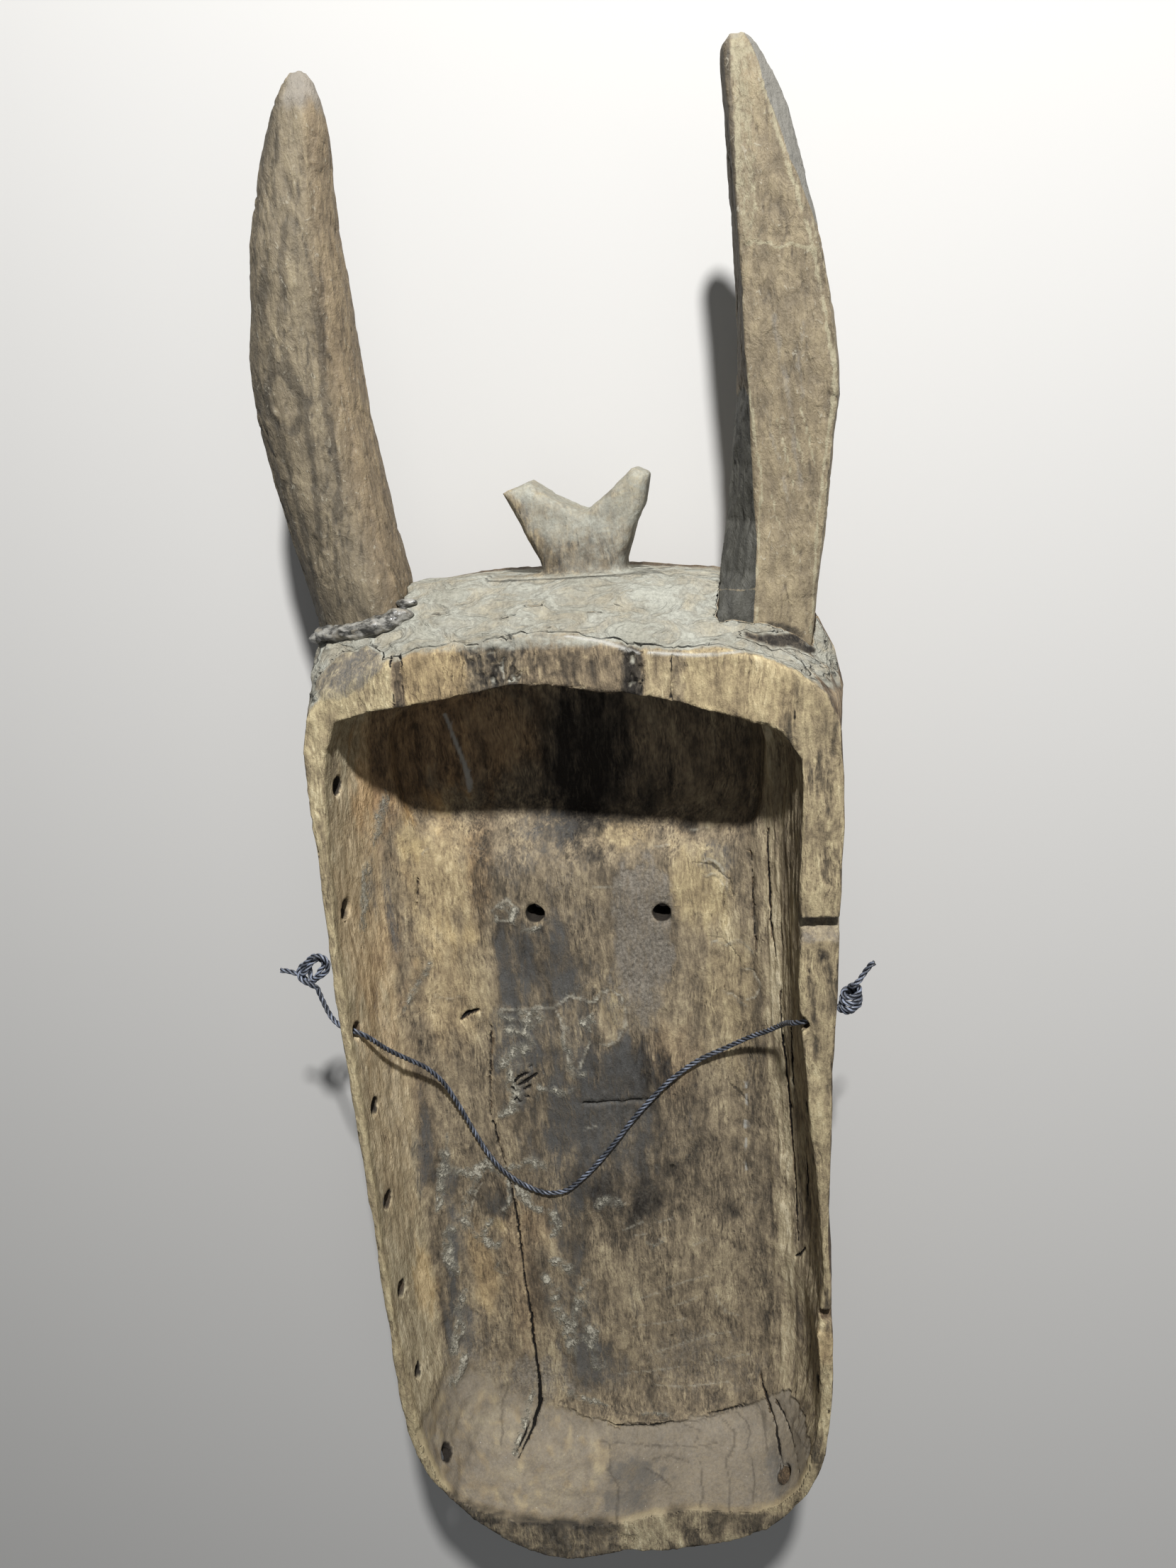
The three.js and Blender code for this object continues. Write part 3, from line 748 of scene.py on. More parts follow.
RED_MARKS = (
    (-154, 10, 34, 80, 45), (-150, -110, 34, 90, 35), (-61, 20, 7, 34, 45, -4), (-110, 90, 40, 40, 100),
    (-60, 94, 40, 30, 90), (50, 70, 60, 30, 20), (44, -104, 14, 30, 35), (-140, -246, 12, 30, 50, 4),
    (-84, -256, 10, 30, 40, 4), (-60, -250, 10, 60, 35), (-88, 20, 24, 50, 15), (-44, -220, 10, 20, 35),
    (-92, -60, 22, 40, 20),
)
YELLOW_MARKS = (
    (-86, 16, 26, 44, 50), (64, 8, 20, 22, 70, 10), (82, -64, 18, 44, 40), (12, -66, 9, 15, 60),
    (20, 36, 16, 8, 60), (-84, -256, 10, 30, 50, 4), (-72, -222, 6, 5, 50), (-140, -246, 12, 30, 60, 4),
    (-104, 44, 10, 14, 70), (-84, -52, 26, 40, 35),
)
MAUVE_MARKS = (
    (31, -22, 17, 42, 110), (34, 8, 14, 14, 60), (24, -56, 18, 26, 70), (-10, -2, 14, 30, 15),
    (-28, -336, 40, 16, 45), (-110, -320, 24, 34, 50), (-70, -350, 30, 22, 65), (50, -320, 44, 24, 35),
    (-146, -100, 12, 60, 30), (-30, 20, 30, 14, 15), (10, -160, 26, 40, 30),
)
SLATE_MARKS = (
    (76, 24, 10, 9, 80), (-140, 18, 4, 16, 60, 6), (-125, 4, 4, 30, 75, 4), (-118, -156, 5, 30, 80),
    (-129, -164, 6, 28, 100), (-104, -190, 8, 18, 60), (-110, -252, 5, 30, 85, -6), (-121, -290, 6, 18, 70),
    (-16, -324, 16, 20, 80), (-50, -98, 13, 34, 70), (-16, -38, 8, 24, 65), (12, -136, 22, 42, 50),
    (-20, -150, 14, 30, 55), (-51, -50, 6, 28, 50), (-22, 38, 14, 10, 50), (-108, -306, 6, 8, 60),
    (12, -412, 19, 9, 90, 8), (6, -434, 12, 9, 90), (100, -404, 8, 14, 70), (-36, 24, 10, 8, 30),
    (-71, -207, 8, 9, 50), (14, -262, 5, 30, 30), (-22, -88, 34, 56, 38), (-24, -170, 28, 34, 40),
    (10, -128, 34, 34, 30), (-28, -226, 10, 30, 35), (-24, -286, 16, 40, 35), (-104, -230, 8, 60, 35),
    (-44, -44, 12, 30, 40), (-104, -300, 10, 20, 40),
)
# Soft strokes of crust, whose widths are half of the stroke's
CRUST_STROKES = (
    (-56, -70, 15, -45, -70, 25, -35, -68, 15, -25, -69, 12),
    (-55, -73, 30, -47, -76, 40, -39, -78, 40, -31, -74, 20),
    (-54, -84, 30, -46, -84, 50, -39, -89, 30, -45, -99, 30), (-60, -107, 30, -53, -98, 40, -46, -92, 20),
    (-51, -107, 30, -54, -114, 40, -54, -122, 40, -51, -129, 40, -54, -136, 30, -60, -139, 30, -65, -143,
     20), (-39, -122, 12, -29, -124, 25, -19, -124, 15, -15, -121, 10),
    (-22, -72, 12, -19, -80, 20, -19, -90, 30, -18, -100, 20, -17, -111, 30, -10, -113, 25),
    (-5, -83, 20, -8, -78, 20, -2, -75, 25, -1, -71, 10),
    (-51, -173, 12, -45, -173, 30, -40, -177, 30, -39, -181, 10), (-60, -179, 15, -54, -177, 15),
    (-95, -181, 20, -86, -184, 30, -80, -180, 40, -74, -176, 40, -67, -182, 30, -59, -179, 15),
    (-80, -184, 20, -87, -194, 30, -92, -204, 40, -96, -213, 45, -92, -223, 40, -84, -231, 30, -76, -239,
     25, -70, -234, 20), (-104, -216, 15, -99, -214, 30), (-77, -220, 20, -81, -226, 20),
    (-63, -188, 15, -61, -198, 20, -66, -211, 15),
    (-58, -191, 15, -53, -198, 30, -48, -206, 30, -42, -209, 30, -36, -214, 40, -34, -222, 30, -39, -230,
     20), (-40, -246, 25, -33, -251, 35, -28, -256, 25), (-44, -260, 30, -39, -269, 50, -41, -277, 40),
    (-39, -285, 30, -32, -293, 50, -32, -308, 60, -31, -318, 40),
    (-18, -262, 25, -23, -269, 30, -22, -280, 40, -27, -290, 30),
    (-24, -286, 20, -18, -302, 40, -16, -316, 40, -15, -328, 40),
    (-38, -348, 20, -30, -356, 30, -19, -358, 25, -9, -360, 15),
    (-8, -206, 20, -2, -201, 40, 5, -203, 30, 10, -204, 15), (22, -230, 8, 26, -233, 20, 32, -229, 10),
    (-101, -153, 15, -104, -165, 30, -101, -176, 35, -94, -180, 20),
    (-108, -166, 30, -107, -182, 50, -111, -193, 50, -114, -203, 30),
    (-102, -270, 20, -108, -278, 50, -112, -286, 40, -111, -297, 50, -118, -306, 60),
    (-108, -224, 50, -113, -240, 60, -105, -252, 30),
    (-52, -3, 15, -46, 0, 20, -42, -6, 15, -44, -12, 20, -52, -11, 20, -56, -6, 15),
    (-38, -16, 12, -32, -18, 16, -27, -15, 10),
    (-130, -66, 20, -118, -58, 30, -108, -48, 30, -100, -40, 20),
    (-128, -330, 40, -116, -340, 50, -110, -316, 40),
    (-60, -354, 15, -64, -366, 25, -67, -384, 25, -70, -404, 20), (14, -366, 8, 22, -364, 20, 30, -366, 8),
)
CLOTTED_STROKE = (
    -118, 72, 30, -124, 62, 50, -133, 48, 60, -141, 34, 60, -148, 18, 60, -154, 4, 50, -158, -8, 30,
)
# Raised edges of dried film and lifted chips
FILM_LINES = (
    (64, 20, 5, 70, 24, 9, 76, 21, 10, 81, 12, 8, 79, 3, 4), (67, 14, 4, 74, 16, 7, 78, 9, 4),
    (70, -25, 5, 78, -28, 7, 85, -24, 9, 92, -28, 7, 98, -33, 4),
    (86, -42, 5, 95, -42, 9, 102, -50, 8, 98, -58, 7, 90, -61, 4), (76, -56, 5, 84, -60, 7, 92, -66, 4),
    (60, 38, 5, 70, 40, 6),
    (-56, -70, 9, -45, -69, 6, -35, -67, 9, -25, -68, 10, -20, -65, 11, -15, -61, 12, -7, -63, 13, 0, -65,
     10, 4, -59, 11, 9, -57, 9, 16, -60, 8, 19, -70, 9, 17, -80, 10, 12, -90, 9, 6, -93, 16, 2, -91, 7),
    (-22, -70, 7, -20, -82, 9, -19, -94, 8, -18, -106, 9, -13, -109, 6),
    (-4, -90, 6, -8, -99, 9, -11, -108, 10),
    (-52, -2, 6, -46, 2, 8, -41, -4, 6, -44, -12, 7, -52, -12, 5, -56, -6, 7, -52, -2, 5),
    (-90, -212, 6, -84, -196, 8, -79, -190, 7), (-62, -190, 6, -64, -206, 8, -70, -212, 6),
    (-74, -250, 5, -78, -256, 8, -70, -259, 7, -66, -254, 5), (-116, -308, 5, -110, -320, 8, -113, -334, 5),
    (-98, -60, 4, -88, -62, 6, -78, -60, 4),
)
# Pale scratches
SCRATCHES = (
    (24, -315, 4, 40, -308, 9, 56, -301, 7, 72, -297, 4), (0, -334, 4, 20, -330, 8, 38, -326, 4),
    (31, -266, 5, 44, -259, 10, 60, -254, 4), (17, -273, 5, 28, -269, 9), (36, -279, 4, 52, -271, 7),
    (24, -342, 4, 46, -340, 7, 70, -336, 4), (8, -222, 6, 20, -216, 10), (14, -226, 4, 22, -224, 7),
    (52, -232, 4, 60, -226, 7), (-12, -150, 4, -4, -148, 6), (30, -216, 3, 40, -212, 6),
    (10, -296, 3, 30, -292, 6, 44, -288, 3), (56, -322, 3, 84, -312, 6), (4, 8, 3, 20, 9, 5),
    (40, 30, 3, 48, 31, 6), (-96, 30, 3, -90, 34, 5), (64, -268, 3, 70, -280, 6, 80, -284, 3),
)
# Thin drying lines on the chin
CHIN_LINES = (
    (2, -366, 5, 27, -371, 7, 48, -369, 7, 66, -361, 6, 87, -352, 5, 92, -360, 6, 94, -388, 5),
    (-15, -391, 3, 11, -391, 4, 30, -390, 5, 48, -389, 5, 62, -386, 4),
    (64, -362, 5, 72, -376, 7, 73, -387, 9, 68, -398, 7, 71, -419, 6, 70, -439, 4),
    (74, -360, 4, 80, -366, 5, 84, -376, 5, 80, -392, 3),
    (85, -346, 5, 89, -354, 6, 93, -374, 7, 94, -392, 4),
    (111, -357, 7, 121, -363, 11, 140, -356, 9, 160, -350, 5), (40, -372, 4, 50, -376, 5, 48, -386, 3),
    (22, -400, 3, 34, -398, 5, 44, -402, 3), (18, -408, 4, 28, -413, 6, 34, -420, 4),
    (-76, -346, 4, -80, -366, 6, -79, -398, 4),
    (4, -462, 10, 2, -446, 9, 0, -425, 7, -6, -410, 5, -8, -393, 3),
    (52, -436, 4, 54, -420, 6, 52, -400, 3), (84, -428, 3, 86, -410, 5, 84, -394, 3),
)
DRIP = (-78, 106, 8, -74, 88, 10, -70, 74, 13, -68, 64, 19, -68, 60, 10)
PALE_DRIPS = (
    (88, -116, 6, 87, -119, 10), (87, -124, 4, 87, -130, 7), (86, -142, 10, 86, -146, 11),
    (86, -154, 5, 86, -160, 6), (85, -170, 4, 86, -176, 5),
)
# The brow's rim from left to right: (edge in x, tone, red, yellow)
RIM_STRIPS = (
    (-140, 0.74, 0.0, 0.55), (-78, 0.34, 0.3, 0.0), (-72.5, 0.65, 0.25, 0.75), (-40, 0.50, 0.05, 0.1),
    (-13, 0.515, 0.2, 0.1), (36, 0.42, 0.1, 0.0), (46, 0.66, 0.1, 0.4), (59.5, 0.48, 0.1, 0.2),
    (65, 0.74, 0.1, 0.6), (117, 0.78, 0.0, 0.6),
)
RIM_LINES = (
    (-78, 160, 9, -78, 130, 6), (-72.5, 160, 6, -73, 128, 6), (60, 152, 6, 58.5, 128, 10),
    (46, 154, 4, 45, 134, 6), (117, 140, 3, 117, 112, 5),
)
# Painted highlight: pale glint lines along the top edge of the brow's rim
RIM_GLINT = ((10, 163.5, 3, 28, 160, 7, 44, 154, 5), (49, 154, 6, 71, 152, 6, 92, 152.5, 3))
DARK_RIM_MARKS = ((128, 128, 4, 24, 100), (128, 60, 4, 9, 80), (129, -3, 2.6, 2.6, 160))
# Darker lines on the crest: along the bevel, and down from the fork
CREST_GROOVES = (
    (-13, 226, 7, -2, 205, 8, 5, 192, 6), (12, 215, 8, 10, 206, 9, 5, 198, 5),
    (30, 222, 5, 24, 212, 7, 20, 203, 5),
)
# Painted shade along the gap under the right horn's foot, on the head's slope, as a stroke
HORN_FOOT_SHADE = ((94, 159, 8, 101, 157, 12, 109, 155, 26, 116, 154, 28, 122, 151, 20, 127, 148, 12),)
CHIP_LINES = (
    (62, 22, 8, 72, 21, 14, 82, 12, 12, 84, 2, 7), (68, 17, 4, 78, 9, 9),
    (68, -22, 6, 76, -24, 10, 84, -32, 12, 88, -38, 7), (88, -41, 7, 98, -42, 13, 101, -48, 8),
    (76, -56, 6, 86, -60, 11, 92, -66, 7), (60, 38, 5, 70, 40, 8), (-10, 27, 16, -10, 25, 14),
    (-45, 40, 16, -45, 38, 14), (76, -116, 8, 83, -123, 18, 88, -128, 9),
)
KNOT_PITS = (
    (-52, -118, 14, -48, -114, 20, -44, -112, 10), (-50, -121, 10, -44, -117, 22, -39, -113, 12),
    (-48, -124, 8, -43, -121, 14), (-52, -130, 14, -50, -132, 8), (-54, -121, 8, -53, -123, 10),
    (-46, -128, 8, -45, -129, 10), (-42, -108, 6, -40, -107, 8), (-56, -112, 6, -55, -114, 9),
)
# Patches on the chin: three that are bare and tan, then darker ones
CHIN_PATCHES = (
    (-13, -404, 5, 11, 10), (7, -412, 4, 7, 10, -10), (-47, -350, 7, 16, 10), (-84, -382, 16, 20, 8),
    (-44, -428, 26, 22, 6), (12, -420, 16, 17, -16, 15), (101, -400, 8, 16, -16), (-98, -410, 16, 22, -6),
)
CHIN_Y = -362
CHIN_EDGE = (
    (-110, -322), (-80, -345), (-50, -360), (-37, -364), (-23, -370), (-4, -376), (34, -370), (57, -363),
    (75, -356), (95, -345), (112, -330),
)


def unrolled(co):
    """The hollow laid flat, in millimetres: the walls fold outwards from the floor."""
    x, y, z = co.T / MM
    rise = np.maximum(z - FLOOR_Z, 0)
    to_chin = ramp(y, -315, -350)
    beside = np.clip((x - MIDDLE[0]) / 90, -1, 1)
    return x + beside * np.abs(beside) ** 3 * rise * (1 - to_chin), y - rise * to_chin


def hollow_side(co, normal):
    """1 on the hollow's floor and walls, 0 outside: the surface there faces the hollow's own middle line."""
    middle = np.stack([np.full(len(co), 0.004), np.clip(co[:, 1], -0.33, 0.08), np.full(len(co), 0.11)], 1)
    return ramp(((co - middle) * normal).sum(1), 0.002, -0.002) * ramp(co[:, 1], 0.155, 0.15)


def regions(co, normal):
    """The parts of the block, each from 0 to 1: hollow, rim, slope of the head, sides, front and crest."""
    x, y, z = co.T
    inner = hollow_side(co, normal)
    wobble = noise(co, 0.012, 3) * 0.001
    crest = ramp(y, 0.186, 0.19) * ramp(np.abs(x - 0.014), 0.05, 0.044)
    rim = (1 - inner) * ramp(z + wobble, RIM_Z - 0.0040, RIM_Z - 0.0018) * ramp(normal[:, 2], 0.25, 0.6)
    slope = ramp(y, 0.118, 0.14) * ramp(normal[:, 2], 0.1, 0.4) * ramp(z, 0.07, 0.084)
    slope = np.maximum(slope, ramp(y, 0.176, 0.182) * ramp(z, 0.035, 0.055))
    slope *= (1 - inner) * (1 - rim) * (1 - crest)
    front = ramp(normal[:, 2], -0.25, -0.5) * (1 - inner) * (1 - crest)
    side = np.clip(1 - inner - rim - slope - front - crest, 0, 1)
    return {"inner": inner, "rim": rim, "slope": slope, "side": side, "front": front, "crest": crest}


def knot_wrinkles(co):
    """Wrinkles from about -1 to 1 that fan out of the knot in the brow's rim."""
    across, along = co[:, 0] + 0.024, co[:, 1] - 0.128
    angle = np.arctan2(across, along) + 14 * noise(co, 0.009, 8) * 0.01
    fan = np.stack([0.024 * angle, 0.4 * np.hypot(across, along), 0 * angle], 1)
    return 1.5 * rough_noise(fan, 0.0030, 13, 2)


def brow_knot(x, y):
    """1 on the knot in the brow's rim, whose left side slants; x and y in millimetres."""
    left = -40.5 + 0.45 * (158 - y)
    return ramp(x, left - 1.5, left + 1.5) * ramp(x, -9, -16) * ramp(y, 130, 136)


def inside_box(co):
    """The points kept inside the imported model's box and under the rim's plane."""
    return np.clip(co, CAD_BOX[0], (*CAD_BOX[1][:2], RIM_Z))


def carve_block(mesh, s):
    """Moves the points in by the tool marks, the weathered grain, the knots and the chips."""
    co, normal = points_of(mesh), normals_of(mesh)
    blend = ramp(np.abs(co[:, 1] - 0.032), 0.044, 0.026) * ramp(np.abs(co[:, 0]), 0.096, 0.084)
    blend *= hollow_side(co, normal)
    rounded = smoothed(mesh, co, 70, 0.9)
    co += blend[:, None] * (rounded - co)
    x, y, z = co.T
    part = regions(co, normal)
    u, v = unrolled(co)
    slow = noise(co, 0.045, 1) * 0.0009 + noise(co, 0.02, 2) * 0.0005
    grain = rough_noise(co, (0.0032, 0.05, 0.0032), 11, 2)
    wide_grain = noise(co, (0.009, 0.12, 0.009), 14)
    lumps = rough_noise(co, 0.008, 17, 2)
    best, number = scoops(x + 0.004 * noise(co, 0.03, 4), y, 0.014, 0.034, 1)
    floor_scoops = np.clip(0.5 - best, -0.5, 0.5) * (0.4 + 0.9 * number)
    best, number = scoops(x, y + 0.006 * noise(co, 0.02, 5), 0.017, 0.0055, 2)
    slope_scoops = np.clip(0.45 - best, -0.4, 0.45) * (0.3 + 1.1 * number)
    best, number = scoops(np.arctan2(z - 0.09, x) * 0.12, y, 0.016, 0.03, 3)
    side_scoops = np.clip(0.5 - best, -0.5, 0.5) * (0.4 + 0.8 * number)
    chin = ramp(v, CHIN_Y + 6, CHIN_Y - 8)
    right_wall = ramp(x, 0.092, 0.104)
    rough = (1 - 0.8 * chin) * (1 + 2.2 * right_wall)
    depth = -slow
    hollow = s.gouge_depth * 0.6 * floor_scoops + s.grain_depth * rough * (grain + 1.2 * wide_grain)
    crusty = strokes(u, v, CRUST_STROKES, 2.5)
    hollow -= 0.0005 * crusty * np.clip(rough_noise(co, 0.004, 19, 2) + 0.4, 0, 1)
    rough_chin = chin * ramp(u, -4, -14)
    hollow += 0.00035 * lumps * (1 - 0.6 * chin + 1.8 * rough_chin)
    ledge = ramp(u + 61 - 0.02 * (v + 200), -9, -0.5) * ramp(u + 61 - 0.02 * (v + 200), 0.5, -0.5)
    hollow -= 0.0009 * ledge * ramp(v, -90, -150) * ramp(v, -372, -350)
    depth += part["inner"] * hollow
    waves = rough_noise(co, (0.013, 0.006, 0.006), 24, 3)
    depth += part["slope"] * (s.gouge_depth * 0.5 * slope_scoops + 0.0009 * waves + 0.0003 * lumps)
    depth += part["side"] * (s.gouge_depth * side_scoops + s.grain_depth * grain)
    crest = 0.0003 * grain + 0.0002 * lumps + 0.0009 * ramp(y, 0.206, 0.196) * ramp(lumps, 0.3, 0.8)
    depth += part["crest"] * crest
    depth += part["front"] * (s.gouge_depth * 0.6 * side_scoops + s.grain_depth * 0.7 * grain)
    xm, ym = x / MM, y / MM
    knot = brow_knot(xm, ym)
    holes = ramp(np.hypot((xm - 41) / 6, (ym - 146) / 14), 1.3, 0.6)
    worm = ramp(xm, -78.5, -77.5) * ramp(xm, -72, -73)
    brow = ramp(ym, 112, 122)
    rim = 0.0004 + 0.0006 * noise(co, (0.006, 0.012, 0.01), 6) + 0.0003 * rough_noise(co, 0.004, 7)
    rim += brow * knot * (0.0014 * np.clip(0.3 - knot_wrinkles(co), 0, 1.2) + 0.0003)
    rim += brow * holes * 0.0022 * ramp(rough_noise(co, (0.003, 0.006, 0.004), 9, 2), 0.0, 0.5)
    rim += brow * worm * (0.0010 + 0.0004 * noise(co, 0.002, 10))
    depth += part["rim"] * rim
    edge = ramp(ridges(mesh, 16), 0.0004, 0.0012)
    depth += edge * 0.0016 * np.clip(rough_noise(co, (0.006, 0.009, 0.006), 12, 2), 0, 1)
    set_points(mesh, inside_box(co - normal * depth[:, None]))


def cut_marks(co, normal):
    """The points moved down into the cracks, pits and lifted chips, and how dark each point is: painted shade
    in the open cuts.
    """
    inner = hollow_side(co, normal)
    u, v = unrolled(co)
    x, y = co[:, 0] / MM, co[:, 1] / MM
    wiggle = 0.7 * noise(co, 0.006, 21) + 0.35 * noise(co, 0.002, 22)
    dark = np.zeros(len(co))
    depth = np.zeros(len(co))
    faint = 0.45 + 0.55 * ramp(noise(co, 0.012, 23), -0.2, 0.4)
    on_rim = (1 - inner) * ramp(co[:, 2], 0.126, 0.129) * ramp(normal[:, 2], 0.2, 0.5)
    for across, along, lines, share, shallow, deep, region in (
        (u, v, CRACKS, 1.0, 1.2, 2.2, inner),
        (u, v, CHIP_LINES, 1.5, 0.2, 0.6, inner * 0.55),
        (u, v, KNOT_PITS, 3.0, 0.6, 1.2, inner),
        (x, y, RIM_LINES, 1.0, 0.5, 0.6, on_rim),
    ):
        for line in lines:
            distance, half = line_distance(across + wiggle * share, along + 0.6 * wiggle * share, line)
            open_part = ramp(distance, half + 0.35, np.maximum(half - 0.25, 0))
            dark = np.maximum(dark, open_part * region * np.maximum(faint, ramp(half, 0.3, 0.55)))
            cut_depth = ramp(distance, half + 0.6, 0) * np.minimum(shallow + deep * half, 6.0)
            depth = np.maximum(depth, cut_depth * region)
    co = co.copy()
    co[:, 2] -= depth * MM * ramp(co[:, 2], 0.03, 0.05)
    return inside_box(co), dark


def near_lines(co, normal, hollow_lines, rim_lines, reach):
    """Which points lie within reach, in millimetres, of the edge of a line in the hollow or on the rim."""
    in_hollow = drawn(*unrolled(co), hollow_lines, lambda distance, half: distance < half + reach)
    on_rim = drawn(*co[:, :2].T / MM, rim_lines, lambda distance, half: distance < half + reach)
    return np.where(hollow_side(co, normal) > 0.5, in_hollow, on_rim * (co[:, 2] > 0.12)) > 0


def in_bores(co):
    """Which points lie in the holes through the floor and the walls, or just round them."""
    x, y, z = co.T / MM
    inside = np.min([np.hypot(x - eye_x, y - EYE_Y) for eye_x in EYE_XS], axis=0) < EYE_REACH
    for hole_y in (*WALL_HOLE_YS, *CORD_HOLE_YS):
        inside |= (np.hypot(y - hole_y, z - WALL_HOLE_Z - 2) < HOLE_REACH) & (np.abs(x) > WALL_X)
    corners = drawn(x, y, CORNER_HOLES, lambda distance, half: distance < half + 2) > 0
    return inside | corners & (np.abs(z - WALL_HOLE_Z) < 9)


def plain_and_marked(mesh):
    """Which points are on the plain sides and front, and which stay, being near a hole or a fine mark."""
    co, normal = points_of(mesh), normals_of(mesh)
    part = regions(co, normal)
    lines = CRACKS + CHIP_LINES + KNOT_PITS + CHIN_LINES + FILM_LINES + SCRATCHES + PALE_DRIPS + (DRIP,)
    marked = near_lines(co, normal, lines, RIM_LINES + RIM_GLINT, 1.6) | in_bores(co)
    return (part["side"] + part["front"] > 0.5) & ~marked, marked


def refine(mesh, chosen, cuts):
    """Divides the edges whose two ends are both chosen, so that fine cuts have points to move."""
    bm = bmesh.new()
    bm.from_mesh(mesh)
    bm.verts.ensure_lookup_table()
    edges = [e for e in bm.edges if chosen[e.verts[0].index] and chosen[e.verts[1].index]]
    bmesh.ops.subdivide_edges(bm, edges=edges, cuts=cuts, use_grid_fill=True)
    bmesh.ops.triangulate(bm, faces=bm.faces)
    bm.to_mesh(mesh)
    bm.free()


def paint_block(mesh, crack_shade):
    """Stores where each stain, dust, crust and wear lies on the block, and the painted light and shade:
    lighter walls, the middle of the brow's shadow, the far side of the right wall, the gap under the right
    horn's foot, shadows beside lifted film edges, the dark bores and cuts, and the glint along the brow's
    rim.
    """
    co, normal = points_of(mesh), normals_of(mesh)
    part = regions(co, normal)
    u, v = unrolled(co)
    x, y, z = co.T / MM
    inner, rim, slope, crest = part["inner"], part["rim"], part["slope"], part["crest"]

    def lumps(size, seed, low=None, high=None):
        """Smooth noise over the block, or patches of it from 0 to 1."""
        values = noise(co, size, seed)
        return values if low is None else ramp(values, low, high)

    ragged = 0.35 * lumps((0.010, 0.030, 0.010), 31) + 0.28 * lumps((0.004, 0.013, 0.004), 32)
    ragged += 0.14 * lumps((0.002, 0.006, 0.002), 33)
    wander = 2.4 * lumps(0.012, 34) + 1.4 * lumps(0.005, 35)
    standing = ridges(mesh, 6)
    outer = part["side"] + part["front"]
    brow = ramp(y, 112, 122)

    def along(lines, share, profile):
        """Lines in the hollow that wander a little from their course."""
        return drawn(u + share * wander, v + share * wander, lines, profile)

    edge_line = np.interp(u, *zip(*CHIN_EDGE))
    soft_end = 3 + 14 * ramp(u, -30, -70)
    chin = inner * ramp(v + (6 + soft_end) * ragged, edge_line + soft_end - 1, edge_line - soft_end)
    off_chin = 1 - chin
    right_wall = inner * ramp(u, 100, 114)
    # Painted light: the left wall (beyond u = -122) and the right wall are made lighter, standing for the
    # light that falls on them.
    tone = 0.535 + spread(u, v, TONE_MARKS, ragged) + 0.30 * inner * ramp(u, -122, -134) + 0.32 * right_wall
    tone += spread(u, v, BARE_PATCHES, 0.5 * ragged, 1.06, 0.96)
    tone -= 0.05 * spread(u, v, ((-84, 16, 34, 60, 100),), ragged)
    tone += 0.12 * ramp(standing, 0.0001, 0.0006) * (1 - ramp(np.abs(v - 32), 42, 26))
    tone -= 0.16 * ramp(standing, -0.0001, -0.0007)
    # Painted shade: the steep far part of the right wall (u past 118) is made darker, as well as darker
    # fissure streaks.
    tone -= right_wall * (0.14 * ramp(u, 118, 130) + 0.13 * lumps((0.0035, 0.05, 0.0035), 54, 0.05, 0.35))
    tone -= 0.11 * ramp(u, 78, 90) * lumps((0.003, 0.04, 0.003), 59, 0.15, 0.4) * off_chin
    tone += 0.06 * (lumps((0.012, 0.034, 0.012), 60) + lumps((0.005, 0.016, 0.005), 61)) * off_chin
    rough_chin = chin * ramp(u + 5 * ragged, -4, -14)
    chin_tone = 0.60 + 0.08 * ragged + 0.16 * rough_chin * (0.3 + lumps(0.007, 63))
    tone = tone * off_chin + chin * (chin_tone + spread(u, v, CHIN_PATCHES, ragged))
    red = 0.8 * spread(u, v, RED_MARKS, ragged) * off_chin + 0.02 * chin + 0.08
    yellow = spread(u, v, YELLOW_MARKS, ragged) * off_chin
    bare = lumps((0.006, 0.010, 0.008), 64, 0.15, 0.45) * rough_chin
    bare = np.maximum(bare, spread(u, v, CHIN_PATCHES[:3], ragged) / 0.1)
    mauve = np.maximum(spread(u, v, MAUVE_MARKS, ragged), chin * (0.9 - 0.6 * np.clip(bare, 0, 1)))
    slate = spread(u, v, SLATE_MARKS, 1.3 * ragged)
    patchy = ramp(rough_noise(co, (0.010, 0.014, 0.010), 40, 2), -0.45, 0.35)
    clotted = 0.35 + 0.65 * lumps((0.006, 0.008, 0.006), 41, -0.35, 0.25)
    crust = strokes(u + 0.8 * wander, v + 0.8 * wander, CRUST_STROKES, 2.6) * clotted
    crust = np.maximum(crust, 0.8 * strokes(u + wander, v, (CLOTTED_STROKE,), 3.5) * (0.4 + 0.6 * patchy))
    crust = np.maximum(crust, 0.55 * strokes(u + 2 * wander, v + 2 * wander, CRUST_STROKES, 9.0) * patchy)
    near_crust = strokes(u + 2 * wander, v + wander, CRUST_STROKES, 16.0)
    film = np.maximum(0.5 * near_crust, 0.22 * lumps(0.03, 36, 0.1, 0.4)) * off_chin * ramp(u, 105, 95)
    shine = inner * strokes(u, v, (DRIP, *PALE_DRIPS), 0.5)
    line = 0.6 * inner * along(CHIN_LINES, 0.5, lambda distance, half: ramp(distance, half + 0.7, half))
